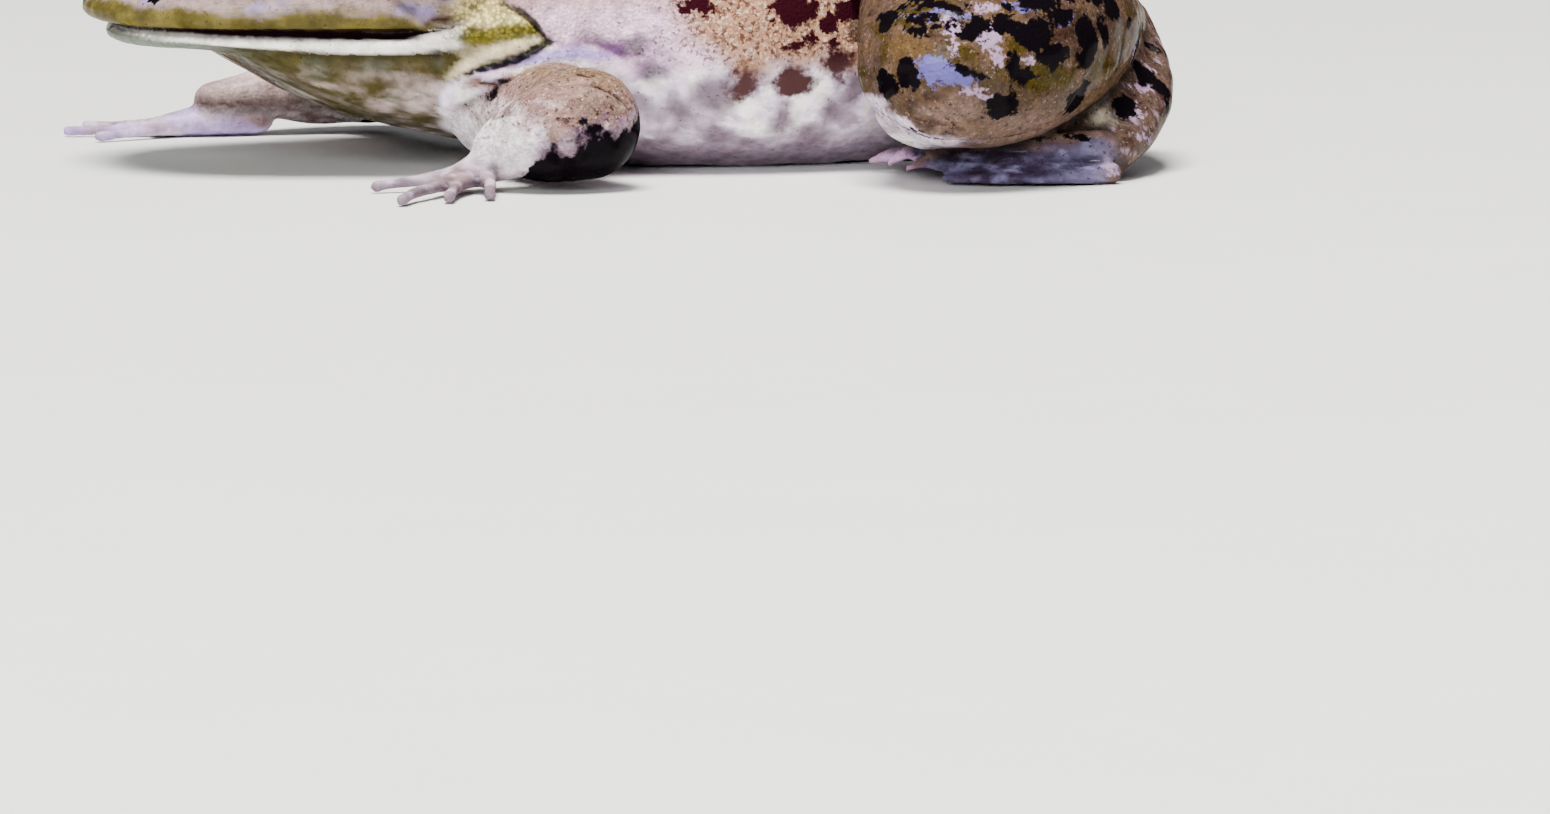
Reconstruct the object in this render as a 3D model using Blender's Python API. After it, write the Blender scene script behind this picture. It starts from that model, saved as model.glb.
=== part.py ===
"""American bullfrog, life size, resting low on the floor with its chin just lifted.

The frog is one smooth body, described as distances to simple shapes: lofts for the head, the jaw
and the trunk, tubes along curved centre lines for the limbs and toes, ellipsoids for the eyes and
ears, and thin sheets for the webs. The shapes flow into each other over a blend radius. Each named
piece is the part of that body nearest its own shapes, with a thin cut between it and its neighbours.

Body frame, in millimetres: x runs back from the snout tip, y is 0 in the middle plane and negative
on the frog's left, z is the height above the floor. The finished part is moved so that the middle
of its bounding box stands over the origin.
"""
import math

import bpy
import numpy as np
import openvdb

MM = 0.001                    # metres in a millimetre
FAR = 60.0                    # distance given to a point outside a shape's reach
BOX_MARGIN = 5.0              # the samples of a piece reach this far beyond its shapes
SHAPE_MARGIN = 6.0            # a shape is measured this far beyond the reach of its blend
OPENING_MARGIN = 3.0
DRUM_MARGIN = 2.0
LOFT_SLOPES = (0.5, 4.0)      # a loft's distances are divided by their slope, kept between these
BORDER_SLOPES = (0.4, 2.0)    # the same for the border between two pieces
CUT = 0.8                     # width of the cut between two pieces
CUTTER_DEPTH = 20.0           # the block below the floor that flattens what rests on it
CUTTER_SIDE = 400.0
NECK = 60.0                   # head and jaw end, and the trunk begins, this far behind the snout

LEFT, RIGHT = -1, 1
SIDES = {"left": LEFT, "right": RIGHT}

EYE_CENTRE = (31.0, 17.0, 39.0)
EYE_RADIUS = 7.4
EYE_LOOK = (-0.28, 0.90, 0.32)        # outward, a little forward and up
LID_THICKNESS = 1.3
LID_OPENING = (6.4, 5.6)              # half width along the head and half height of the opening
OPENING_DEPTH = 0.8 * EYE_RADIUS      # half its depth
MOUND_OFFSET = (-0.5, 2.5, 1.5)       # the swelling under each eye lies this much inward and down
MOUND_RADII = (11.5, 9.0, 8.8)
EAR_CENTRE = (45.0, 30.6, 31.0)
EAR_RADIUS = 6.3
EAR_THICKNESS = 1.5                   # half the drum's thickness at its middle
EAR_NORMAL = (0.05, 0.96, 0.28)
EAR_GAP = 0.5

# Stations of the lofts: x, half width, height of the widest line, top, bottom.
UPPER_HEAD = (
    (0, 25.0, 23.0, 28.0, 20.0), (4, 25.2, 23.0, 29.8, 19.8), (8, 25.5, 23.0, 32.0, 19.4),
    (15, 26.0, 23.0, 35.2, 19.0), (22, 27.5, 23.0, 38.0, 18.8), (30, 29.6, 23.2, 41.0, 18.7),
    (40, 31.4, 23.5, 44.0, 18.6), (50, 31.8, 24.0, 46.3, 17.4), (60, 30.0, 24.0, 47.5, 14.0),
    (68, 28.0, 24.0, 47.0, 12.0))
LOWER_JAW = (
    (2, 23.0, 19.2, 22.0, 16.4), (6, 23.6, 19.5, 21.9, 16.9), (12, 24.4, 19.8, 21.6, 17.3),
    (18, 25.2, 20.0, 21.4, 16.7), (24, 26.6, 20.1, 21.4, 13.5), (30, 28.2, 20.1, 21.4, 10.2),
    (36, 29.6, 20.1, 21.4, 7.8), (42, 30.4, 20.0, 21.4, 6.4), (50, 30.8, 20.0, 24.0, 5.8),
    (60, 29.0, 20.0, 29.0, 5.4), (68, 27.0, 20.0, 31.0, 5.0))
TRUNK = (
    (44, 25.0, 21.0, 46.0, 9.0), (55, 29.5, 21.0, 49.2, 5.5), (65, 33.0, 20.5, 52.0, 1.5),
    (75, 36.2, 20.0, 55.0, -1.0), (85, 38.5, 20.0, 57.8, -2.0), (95, 39.0, 20.0, 59.4, -2.3),
    (105, 37.5, 20.0, 59.2, -2.3), (115, 34.0, 20.0, 56.2, -2.0), (125, 29.0, 21.0, 52.0, 0.5),
    (135, 24.0, 22.0, 47.5, 5.0), (145, 20.0, 22.0, 43.5, 7.0), (152, 18.0, 22.0, 42.0, 8.0))

# Each loft's two ends along x, where it begins to round off towards them, and the powers of its
# outline from above, of its sections above the widest line, and of its sections below.
HEAD_FORM = ((0.4, 72), (22, 52), (2.15, 2.25, 2.6))
JAW_FORM = ((3.8, 72), (22, 52), (2.15, 3.2, 2.3))
TRUNK_FORM = ((42, 153), (60, 132), (2.0, 2.05, 2.5))

# Centre lines and radii of the limbs, for the right side (y positive).
ARMS = {
    "left": {
        "upper_arm": (((57, 20, 10.0), (59.5, 34, 9.6), (61.2, 47.5, 9.4)), (8.6, 7.8, 7.3)),
        "forearm": (((61.2, 48.5, 9.0), (56.5, 49.5, 8.2), (52, 48.2, 7.2), (49.3, 47, 6.0)),
                    (7.5, 7.0, 5.3, 3.9)),
        "palm": (((50, 46.8, 4.6), (46.2, 46.8, 3.1), (43.4, 47, 2.0)), (3.6, 3.1, 2.3)),
        "fingers": (((44, 45.4, 2.4), (38.5, 45, 1.7), (34.5, 45, 1.3), (31.9, 45.1, 1.0)),
                    ((43.5, 47.6, 2.2), (37.8, 55, 1.7), (33, 61, 1.3), (30.9, 64.4, 0.9)),
                    ((44.3, 49, 2.2), (41, 55, 1.6), (39, 59.8, 1.2), (38, 62.4, 0.9)),
                    ((46.5, 49, 2.2), (46, 54, 1.6), (45, 58, 1.2), (44.4, 60.4, 0.9)))},
    "right": {
        "upper_arm": (((57, 20, 10.5), (56.5, 34, 10.2), (54, 46.5, 8.8)), (8.6, 7.8, 7.1)),
        "forearm": (((54, 47.5, 8.4), (46, 48, 7.4), (36, 46.2, 6.3), (28.6, 45.4, 5.2)),
                    (7.2, 6.2, 3.7, 2.8)),
        "palm": (((35, 46, 2.2), (28, 46.2, 2.3), (24.5, 46.6, 2.0), (21, 47.2, 1.4)),
                 (3.0, 3.2, 2.8, 1.9)),
        "fingers": (((23, 45, 1.7), (17.5, 43, 1.3), (13, 41.4, 1.0), (10.5, 40.5, 0.9)),
                    ((21.5, 46.8, 1.7), (16, 48, 1.3), (10.5, 49.6, 1.0), (7.8, 50.4, 0.9)),
                    ((22.5, 48.5, 1.7), (18.5, 52.5, 1.3), (14.5, 56.2, 1.0), (12.2, 58.2, 0.9)),
                    ((26, 49, 1.7), (25.6, 55, 1.3), (24.8, 60, 1.0), (24.3, 62.4, 0.9)))}}
FINGER_RADII = (1.5, 1.05, 0.9, 1.0)
PALM_SQUASH = 0.75
THIGH = (((132, 15, 24), (124, 33, 24.5), (116, 49, 22), (111, 57.5, 18)), (15.5, 16, 14.5, 12.5))
UNDER_THIGH = (((128, 24, 15), (118, 41, 13.6), (110.5, 52, 13.4)), (10.0, 9.8, 8.8))
HEEL_SKIN = (((143, 37, 14.5), (138, 46.5, 9.3), (131, 53, 5.5)), (5.0, 5.2, 3.6))
SHANK = (((110.5, 62.5, 17.5), (117, 58.5, 19), (127.5, 48, 21), (138, 33, 20), (146, 22, 17.5)),
         (11.5, 13.4, 13.4, 9.8, 7.2))
TARSUS = (((146.5, 22, 16.5), (146.8, 33, 13.2), (143, 46, 8.2), (136.6, 55.4, 4.0)),
          (7.2, 5.6, 4.3, 3.2))
TOES = (((134, 52, 3.0), (124, 42, 3.0), (115, 33, 2.2), (111, 29, 1.4)),
        ((133, 54, 3.4), (121, 44, 4.2), (111, 37, 3.0), (106.5, 34.5, 1.5)),
        ((133, 56, 3.4), (121, 50, 5.0), (111, 43.5, 4.2), (107.5, 40.5, 1.6)),
        ((134, 57.5, 5.0), (124, 56, 5.0), (114, 51.5, 4.1), (108, 48.5, 1.7)),
        ((134.5, 60.5, 1.5), (126, 61.8, 1.1), (117, 59.5, 1.0), (111, 56.5, 1.0)))
TOE_RADII = (2.6, 1.8, 1.25, 0.6)
OUTER_TOE_RADII = (1.8, 0.9, 0.8, 0.7)
WEB_THICKNESS = 0.9
WEB_REACH = 0.95              # share of the toes' length that the web joins
SNOUT_RIDGE = (((8, 8, 27.5), (18, 13, 32), (27, 16.5, 35)), (1.5, 2.6, 3.4))
SHOULDER_FOLD = (((46, 26.5, 11), (52, 30.6, 15), (58, 32.8, 17), (65, 34.6, 17.2),
                  (71.5, 35.2, 14.5)), (1.0, 1.9, 2.1, 2.1, 1.0))
EAR_FOLD = (((37, 20, 40.5), (45, 25, 40.5), (52, 28.5, 36.5), (56.5, 30, 29), (59, 30.5, 22)),
            (1.8, 2.2, 2.4, 2.6, 2.4))
MOUTH_CORNER = (((44, 29.3, 21.8), (52, 30.3, 21.3), (58.5, 30.6, 20.6)), (2.6, 3.2, 2.4))

# How far, in millimetres, each shape flows into what it joins.
BLEND = {"jaw": 0.6, "mound": 3.5, "lids": 1.0, "snout_ridge": 4.0, "ear_fold": 2.5, "mouth_corner": 1.5,
         "trunk": 10.0, "shoulder_fold": 1.8, "arm": 2.0, "palm": 1.2, "finger": 0.8, "thigh": 0.8,
         "shank": 0.6, "tarsus": 1.0, "toe": 0.8, "opening": 0.4}
TUBE_STEPS = 24
WEB_STEPS = 12

# Spacing of the samples in millimetres and number of triangles, for each kind of piece.
FINISH = {"head": (0.9, 1500), "lower_jaw": (0.9, 600), "trunk": (1.2, 1100), "tympanum": (0.5, 110),
          "upper_arm": (0.8, 240), "forearm": (0.8, 200), "hand": (0.55, 560), "thigh": (1.0, 340),
          "shank": (1.0, 340), "tarsus": (0.8, 190), "foot": (0.55, 760)}
EYE_SEGMENTS, EYE_RINGS = 18, 10

COLOURS = {"head": (0.20, 0.20, 0.06), "lower_jaw": (0.42, 0.40, 0.26), "trunk": (0.36, 0.28, 0.20),
           "tympanum": (0.10, 0.06, 0.07), "eye": (0.45, 0.30, 0.06), "upper_arm": (0.30, 0.23, 0.17),
           "forearm": (0.28, 0.21, 0.16), "hand": (0.40, 0.32, 0.30), "thigh": (0.24, 0.19, 0.09),
           "shank": (0.22, 0.17, 0.08), "tarsus": (0.24, 0.17, 0.11), "foot": (0.20, 0.16, 0.18)}
SKIN_ROUGHNESS = 0.35
EYE_ROUGHNESS = 0.05


def smooth_min(a, b, radius):
    """The lesser of two distances, rounded where they differ by less than the radius."""
    if radius <= 0:
        return np.minimum(a, b)
    share = np.clip(0.5 + 0.5 * (b - a) / radius, 0, 1)
    return b + (a - b) * share - radius * share * (1 - share)


def smooth_max(a, b, radius):
    """The greater of two distances, rounded in the same way."""
    return -smooth_min(-a, -b, radius)


def curve(at, knots, values):
    """Cubic Hermite curve through the values, with slopes taken across each knot's neighbours."""
    knots, values = np.asarray(knots, float), np.asarray(values, float)
    slopes = np.gradient(values, knots)
    at = np.clip(at, knots[0], knots[-1])
    i = np.clip(np.searchsorted(knots, at, side="right") - 1, 0, len(knots) - 2)
    span = knots[i + 1] - knots[i]
    t = (at - knots[i]) / span
    start = (2 * t**3 - 3 * t**2 + 1) * values[i] + (t**3 - 2 * t**2 + t) * span * slopes[i]
    end = (3 * t**2 - 2 * t**3) * values[i + 1] + (t**3 - t**2) * span * slopes[i + 1]
    return start + end


def resample(points, radii, count):
    """Points and radii at equal steps along a smooth curve through the given points."""
    points = np.asarray(points, float)
    length = np.r_[0, np.cumsum(np.linalg.norm(np.diff(points, axis=0), axis=1))]
    at = np.linspace(0, length[-1], count + 1)
    return np.stack([curve(at, length, column) for column in points.T], axis=1), curve(at, length, radii)


def mirrored(points, side):
    """Points of the right side, or their mirror images for the left."""
    return np.asarray(points, float) * (1, side, 1)


class Tube:
    """Round tube of changing radius along a smooth centre line; squash flattens it in height."""

    def __init__(self, points, radii, squash=1.0):
        self.points, self.radii = resample(points, radii, TUBE_STEPS)
        self.squash = squash
        self.low = self.points.min(axis=0) - self.radii.max()
        self.high = self.points.max(axis=0) + self.radii.max()

    def distance(self, x, y, z):
        best = FAR
        ends = zip(self.points[:-1], self.points[1:], self.radii[:-1], self.radii[1:])
        for start, end, start_radius, end_radius in ends:
            along = end - start
            px, py, pz = x - start[0], y - start[1], z - start[2]
            t = np.clip((px * along[0] + py * along[1] + pz * along[2]) / (along @ along), 0, 1)
            px, py, pz = px - t * along[0], py - t * along[1], (pz - t * along[2]) / self.squash
            radius = start_radius + t * (end_radius - start_radius)
            best = np.minimum(best, np.sqrt(px * px + py * py + pz * pz) - radius)
        return best


class Ellipsoid:
    """Ellipsoid with three radii along the rows of axes."""

    def __init__(self, centre, radii, axes=((1, 0, 0), (0, 1, 0), (0, 0, 1))):
        self.centre, self.radii, self.axes = (np.asarray(v, float) for v in (centre, radii, axes))
        reach = np.sqrt(((self.axes * self.radii[:, None])**2).sum(axis=0))
        self.low, self.high = self.centre - reach, self.centre + reach

    def distance(self, x, y, z):
        x, y, z = x - self.centre[0], y - self.centre[1], z - self.centre[2]
        local = [x * a[0] + y * a[1] + z * a[2] for a in self.axes]
        near = np.sqrt(sum((v / r)**2 for v, r in zip(local, self.radii)))
        slope = np.sqrt(sum((v / r**2)**2 for v, r in zip(local, self.radii)))
        return near * (near - 1) / np.maximum(slope, 1e-6)


class Loft:
    """Body along x with rounded ends, whose sections are superellipses given by stations."""

    def __init__(self, stations, form):
        self.x, self.width, self.middle, self.top, self.bottom = np.array(stations, float).T
        (self.front, self.back), self.caps, self.powers = form
        self.low = np.array((self.front, -self.width.max(), self.bottom.min()))
        self.high = np.array((self.back, self.width.max(), self.top.max()))

    def distance(self, x, y, z):
        profiles = self.width, self.middle, self.top, self.bottom
        width, middle, top, bottom = (curve(x, self.x, values) for values in profiles)
        front_cap, back_cap = self.caps
        front = np.maximum(front_cap - x, 0) / (front_cap - self.front)
        back = np.maximum(x - back_cap, 0) / (self.back - back_cap)
        plan_power, upper_power, lower_power = self.powers
        plan = (np.maximum(front, back)**plan_power + np.abs(y / width)**plan_power)**(1 / plan_power)
        rise = z - middle
        height = np.where(rise > 0, top - middle, middle - bottom)
        power = np.where(rise > 0, upper_power, lower_power)
        ratio = np.maximum((plan**power + np.abs(rise / height)**power)**(1 / power), 1e-3)
        reach = np.sqrt((x - np.clip(x, front_cap, back_cap))**2 + y**2 + rise**2)
        return (1 - 1 / ratio) * reach


class Web:
    """Thin sheet of skin between two toes, as strips of triangles from one centre line to the other."""

    def __init__(self, toe, next_toe):
        kept = int(WEB_STEPS * WEB_REACH) + 1
        self.lines = [resample(line, TOE_RADII, WEB_STEPS)[0][:kept] for line in (toe, next_toe)]
        both = np.concatenate(self.lines)
        self.low, self.high = both.min(axis=0) - WEB_THICKNESS, both.max(axis=0) + WEB_THICKNESS

    def distance(self, x, y, z):
        best = FAR
        one, other = self.lines
        for i in range(len(one) - 1):
            for corners in ((one[i], other[i], one[i + 1]), (other[i + 1], one[i + 1], other[i])):
                best = np.minimum(best, triangle_distance(x, y, z, *corners))
        return best - WEB_THICKNESS / 2


def triangle_distance(x, y, z, a, b, c):
    """Distance to a triangle: to its plane over its inside, and to its nearest edge elsewhere."""
    normal = np.cross(b - a, c - a)
    inside, edge = True, FAR**2
    for start, end in ((a, b), (b, c), (c, a)):
        along, inward = end - start, np.cross(normal, end - start)
        px, py, pz = x - start[0], y - start[1], z - start[2]
        inside = inside & (px * inward[0] + py * inward[1] + pz * inward[2] >= 0)
        t = np.clip((px * along[0] + py * along[1] + pz * along[2]) / (along @ along), 0, 1)
        edge = np.minimum(edge, (px - t * along[0])**2 + (py - t * along[1])**2 + (pz - t * along[2])**2)
    height = ((x - a[0]) * normal[0] + (y - a[1]) * normal[1] + (z - a[2]) * normal[2])**2
    return np.sqrt(np.where(inside, height / (normal @ normal), edge))


def facing(normal):
    """Three axes: the normal, a level one across it, and the upward one across both."""
    normal = np.asarray(normal, float) / np.linalg.norm(normal)
    level = np.cross((0, 0, 1), normal)
    level /= np.linalg.norm(level)
    return np.array((normal, level, np.cross(normal, level)))


def tubes(limbs, side, blend):
    """The tubes of one side, each with its blend radius, from pairs of centre line and radii."""
    return [(Tube(mirrored(line, side), radii), blend) for line, radii in limbs]


def head_shapes():
    """Head, with a raised ring round each eye, a ridge along the snout and a fold over the ear."""
    shapes = [(Loft(UPPER_HEAD, HEAD_FORM), 0)]
    for side in SIDES.values():
        mound = Ellipsoid(mirrored(np.subtract(EYE_CENTRE, MOUND_OFFSET), side), MOUND_RADII)
        lids = Ellipsoid(mirrored(EYE_CENTRE, side), (EYE_RADIUS + LID_THICKNESS,) * 3)
        shapes += [(mound, BLEND["mound"]), (lids, BLEND["lids"])]
        shapes += tubes((SNOUT_RIDGE,), side, BLEND["snout_ridge"])
        shapes += tubes((EAR_FOLD,), side, BLEND["ear_fold"])
    return shapes


def jaw_shapes():
    """Lower jaw and throat, with the fleshy corners of the mouth."""
    shapes = [(Loft(LOWER_JAW, JAW_FORM), BLEND["jaw"])]
    for side in SIDES.values():
        shapes += tubes((MOUTH_CORNER,), side, BLEND["mouth_corner"])
    return shapes


def trunk_shapes():
    """Trunk, with a fold of skin over each shoulder."""
    shapes = [(Loft(TRUNK, TRUNK_FORM), BLEND["trunk"])]
    for side in SIDES.values():
        shapes += tubes((SHOULDER_FOLD,), side, BLEND["shoulder_fold"])
    return shapes


def arm_shapes(label):
    """Upper arm, forearm and four-fingered hand of one side."""
    side, arm = SIDES[label], ARMS[label]
    palm = Tube(mirrored(arm["palm"][0], side), arm["palm"][1], squash=PALM_SQUASH)
    fingers = tubes([(line, FINGER_RADII) for line in arm["fingers"]], side, BLEND["finger"])
    return {"upper_arm_" + label: tubes((arm["upper_arm"],), side, BLEND["arm"]),
            "forearm_" + label: tubes((arm["forearm"],), side, BLEND["arm"]),
            "hand_" + label: [(palm, BLEND["palm"])] + fingers}


def leg_shapes(label):
    """Thigh, shank, tarsus and webbed five-toed foot of one side."""
    side = SIDES[label]
    toe_radii = [TOE_RADII] * 4 + [OUTER_TOE_RADII]
    toes = tubes(zip(TOES, toe_radii), side, BLEND["toe"])
    webs = [Web(mirrored(line, side), mirrored(after, side)) for line, after in zip(TOES[:-1], TOES[1:])]
    return {"thigh_" + label: tubes((THIGH, UNDER_THIGH), side, BLEND["thigh"]),
            "shank_" + label: tubes((SHANK,), side, BLEND["shank"]),
            "tarsus_" + label: tubes((TARSUS, HEEL_SKIN), side, BLEND["tarsus"]),
            "foot_" + label: toes + [(web, BLEND["toe"]) for web in webs]}


def body_shapes():
    """Every piece of flesh, in the order in which they blend: name to list of (shape, blend radius)."""
    shapes = {"head": head_shapes(), "lower_jaw": jaw_shapes(), "trunk": trunk_shapes()}
    for label in SIDES:
        shapes.update(arm_shapes(label))
        shapes.update(leg_shapes(label))
    return shapes


def ear_drum(side, margin=0.0):
    """The drum of one ear, a flat round lens."""
    radii = (EAR_THICKNESS + margin, EAR_RADIUS + margin, EAR_RADIUS + margin)
    return Ellipsoid(mirrored(EAR_CENTRE, side), radii, facing(mirrored(EAR_NORMAL, side)))


def head_openings():
    """What the eyes and ears take out of the head: sockets, lid openings and the drums' seats."""
    openings = []
    for side in SIDES.values():
        centre, axes = mirrored(EYE_CENTRE, side), facing(mirrored(EYE_LOOK, side))
        openings.append(Ellipsoid(centre, (EYE_RADIUS + CUT / 2,) * 3))
        openings.append(Ellipsoid(centre + axes[0] * EYE_RADIUS, (OPENING_DEPTH, *LID_OPENING), axes))
        openings.append(ear_drum(side, EAR_GAP))
    return openings


class Samples:
    """Distances at the points of a box: of the whole frog, and of each piece on its own."""

    def __init__(self, low, high, step):
        self.step = step
        self.low = np.floor(np.asarray(low) / step) * step
        counts = np.ceil((np.asarray(high) - self.low) / step).astype(int) + 1
        self.axes = [start + step * np.arange(n) for start, n in zip(self.low, counts)]
        self.whole = np.full(counts, FAR, np.float32)

    def reach(self, shape, margin):
        """The slices of the box that a shape reaches, and its distances there."""
        slices = []
        for axis, low, high in zip(self.axes, shape.low - margin, shape.high + margin):
            first, last = np.searchsorted(axis, (low, high))
            slices.append(slice(first, last))
        x, y, z = (axis[cut] for axis, cut in zip(self.axes, slices))
        found = shape.distance(x[:, None, None], y[None, :, None], z[None, None, :])
        found = np.broadcast_to(found, (len(x), len(y), len(z)))
        if isinstance(shape, Loft) and min(found.shape, default=0) > 1:
            found = found / np.clip(self.steepness(found), *LOFT_SLOPES)
        return tuple(slices), found

    def steepness(self, values):
        """Length of the gradient."""
        return np.sqrt(sum(part**2 for part in np.gradient(values, self.step)))

    def add(self, pieces):
        """Blends all pieces into the whole, and returns each piece's own distances."""
        own = {}
        for name, shapes in pieces.items():
            own[name] = np.full(self.whole.shape, FAR, np.float32)
            for shape, blend in shapes:
                where, found = self.reach(shape, blend + SHAPE_MARGIN)
                if found.size:
                    own[name][where] = np.minimum(own[name][where], found)
                    self.whole[where] = smooth_min(self.whole[where], found, blend)
        behind_neck = self.axes[0][:, None, None] - NECK
        own["trunk"] = np.maximum(own["trunk"], -behind_neck)
        for name in ("head", "lower_jaw"):
            own[name] = np.maximum(own[name], behind_neck)
        return own

    def remove(self, shapes):
        """Takes shapes out of the whole."""
        for shape in shapes:
            where, found = self.reach(shape, OPENING_MARGIN)
            self.whole[where] = smooth_max(self.whole[where], -found, BLEND["opening"])

    def piece(self, own, name):
        """The share of the whole that is nearest one piece, less half the cut round it."""
        others = np.minimum.reduce([values for other, values in own.items() if other != name])
        border = own[name] - others
        border = border / np.clip(self.steepness(border), *BORDER_SLOPES)
        return np.maximum(self.whole, border + CUT / 2)


def largest_shell(points, quads):
    """Keeps only the biggest connected set of faces."""
    label = np.arange(len(points))
    edges = np.concatenate((quads[:, :2], quads[:, 1:3], quads[:, 2:4]))
    while True:
        lowest = label.copy()
        np.minimum.at(lowest, edges[:, 0], label[edges[:, 1]])
        np.minimum.at(lowest, edges[:, 1], label[edges[:, 0]])
        lowest = lowest[lowest]
        if (lowest == label).all():
            break
        label = lowest
    kept = label == np.bincount(label).argmax()
    number = np.cumsum(kept) - 1
    return points[kept], number[quads[kept[quads[:, 0]]]]


def surface(values, samples):
    """The zero surface of sampled distances, as points in millimetres and quads facing out."""
    padded = np.pad(values, 1, constant_values=FAR).astype(np.float32)
    grid = openvdb.FloatGrid(FAR)
    grid.copyFromArray(padded)
    points, quads = grid.convertToQuads()
    points = (points - 1) * samples.step + samples.low
    return largest_shell(points, quads.astype(int))


def skin_material(kind):
    """Wet skin, or the eye's glossy ball."""
    material = bpy.data.materials.new(kind)
    material.use_nodes = True
    shader = material.node_tree.nodes["Principled BSDF"]
    shader.inputs["Base Color"].default_value = (*COLOURS[kind], 1.0)
    shader.inputs["Roughness"].default_value = EYE_ROUGHNESS if kind == "eye" else SKIN_ROUGHNESS
    shader.inputs["Metallic"].default_value = 0.0
    return material


def kind_of(name):
    """A piece's kind is its name without the side."""
    return name.removesuffix("_left").removesuffix("_right")


def add_object(name, points, faces):
    """A smooth-shaded object at the origin, with its points in metres."""
    mesh = bpy.data.meshes.new(name)
    mesh.from_pydata((points * MM).tolist(), [], faces)
    mesh.shade_smooth()
    mesh.materials.append(bpy.data.materials.get(kind_of(name)) or skin_material(kind_of(name)))
    piece = bpy.data.objects.new(name, mesh)
    bpy.context.collection.objects.link(piece)
    return piece


def flesh_surfaces():
    """Points and quads of every piece of flesh and both ear drums, in the body frame."""
    shapes = body_shapes()
    surfaces = {}
    for name, own_shapes in shapes.items():
        step = FINISH[kind_of(name)][0]
        low = np.min([shape.low for shape, _ in own_shapes], axis=0) - BOX_MARGIN
        high = np.max([shape.high for shape, _ in own_shapes], axis=0) + BOX_MARGIN
        samples = Samples(low, high, step)
        own = samples.add(shapes)
        if name == "head":
            samples.remove(head_openings())
        surfaces[name] = surface(samples.piece(own, name), samples)
    for label, side in SIDES.items():
        drum = ear_drum(side)
        samples = Samples(drum.low - DRUM_MARGIN, drum.high + DRUM_MARGIN, FINISH["tympanum"][0])
        where, found = samples.reach(drum, DRUM_MARGIN)
        samples.whole[where] = found
        surfaces["tympanum_" + label] = surface(samples.whole, samples)
    return surfaces


def floor_cutter():
    """Block below the floor, which gives everything that rests on it a flat at height 0."""
    half, depth = CUTTER_SIDE * MM / 2, CUTTER_DEPTH * MM
    square = ((-half, -half), (half, -half), (half, half), (-half, half))
    corners = [(x, y, z) for z in (-depth, 0) for x, y in square]
    faces = [(3, 2, 1, 0), (4, 5, 6, 7), (0, 1, 5, 4), (1, 2, 6, 5), (2, 3, 7, 6), (3, 0, 4, 7)]
    mesh = bpy.data.meshes.new("floor_cutter")
    mesh.from_pydata(corners, [], faces)
    cutter = bpy.data.objects.new("floor_cutter", mesh)
    bpy.context.collection.objects.link(cutter)
    cutter.hide_render = True
    cutter.display_type = "WIRE"
    return cutter


def thin_out(piece, triangles):
    """Decimate modifier that leaves about the given number of triangles."""
    modifier = piece.modifiers.new("fewer faces", "DECIMATE")
    modifier.ratio = min(1.0, triangles / (2 * len(piece.data.polygons)))


def add_flesh(surfaces, shift, cutter):
    """One object for each piece of flesh, thinned out, and cut flat where it rests on the floor."""
    for name, (points, quads) in surfaces.items():
        piece = add_object(name, points - shift, quads.tolist())
        thin_out(piece, FINISH[kind_of(name)][1])
        if points[:, 2].min() < 0:
            flat = piece.modifiers.new("flat on the floor", "BOOLEAN")
            flat.operation = "DIFFERENCE"
            flat.object = cutter
            flat.solver = "EXACT"


def ball_faces(segments, rings):
    """Faces of a ball whose points run round each ring, then its top and bottom points."""
    i = np.arange(segments)
    after = (i + 1) % segments
    row = np.arange(rings - 2)[:, None] * segments
    below = row + segments
    sides = np.stack((row + i, below + i, below + after, row + after), axis=-1).reshape(-1, 4)
    last, top = (rings - 2) * segments, (rings - 1) * segments
    upper = np.stack((np.full(segments, top), i, after), axis=-1)
    lower = np.stack((np.full(segments, top + 1), last + after, last + i), axis=-1)
    return sides.tolist() + upper.tolist() + lower.tolist()


def add_eyes(shift):
    """Two eyeballs, each a ball in its socket."""
    around = np.linspace(0, 2 * math.pi, EYE_SEGMENTS, endpoint=False)
    down = np.linspace(0, math.pi, EYE_RINGS + 1)[1:-1, None]
    rings = np.stack((np.sin(down) * np.cos(around), np.sin(down) * np.sin(around),
                      np.cos(down) * np.ones(EYE_SEGMENTS)), axis=-1)
    ball = np.concatenate((rings.reshape(-1, 3), ((0, 0, 1), (0, 0, -1)))) * EYE_RADIUS
    for label, side in SIDES.items():
        place = mirrored(EYE_CENTRE, side) - shift
        add_object("eye_" + label, ball + place, ball_faces(EYE_SEGMENTS, EYE_RINGS))


def main():
    """Clears the scene, then adds the flesh, the ear drums and the eyes over the origin."""
    for old in list(bpy.data.objects):
        bpy.data.objects.remove(old)
    surfaces = flesh_surfaces()
    low = np.min([points.min(axis=0) for points, _ in surfaces.values()], axis=0)
    high = np.max([points.max(axis=0) for points, _ in surfaces.values()], axis=0)
    shift = (low + high) / 2 * (1, 1, 0)
    add_flesh(surfaces, shift, floor_cutter())
    add_eyes(shift)


main()
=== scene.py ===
"""American bullfrog, life size, resting low on the floor: one wet skin over the whole body, and two eyes.

The skin is the zero surface of blended distances to simple shapes, with folds, creases, lids, nostrils,
ear drums and warts pressed into it afterwards. Its ground colours and markings are painted on its points.

Body frame of the tables, in millimetres: x runs back from the snout tip, y is 0 in the middle plane
and negative on the frog's left, z is the height above the floor. Lines given for one side are the
right side's, and are mirrored for the left.
"""
import math

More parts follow.
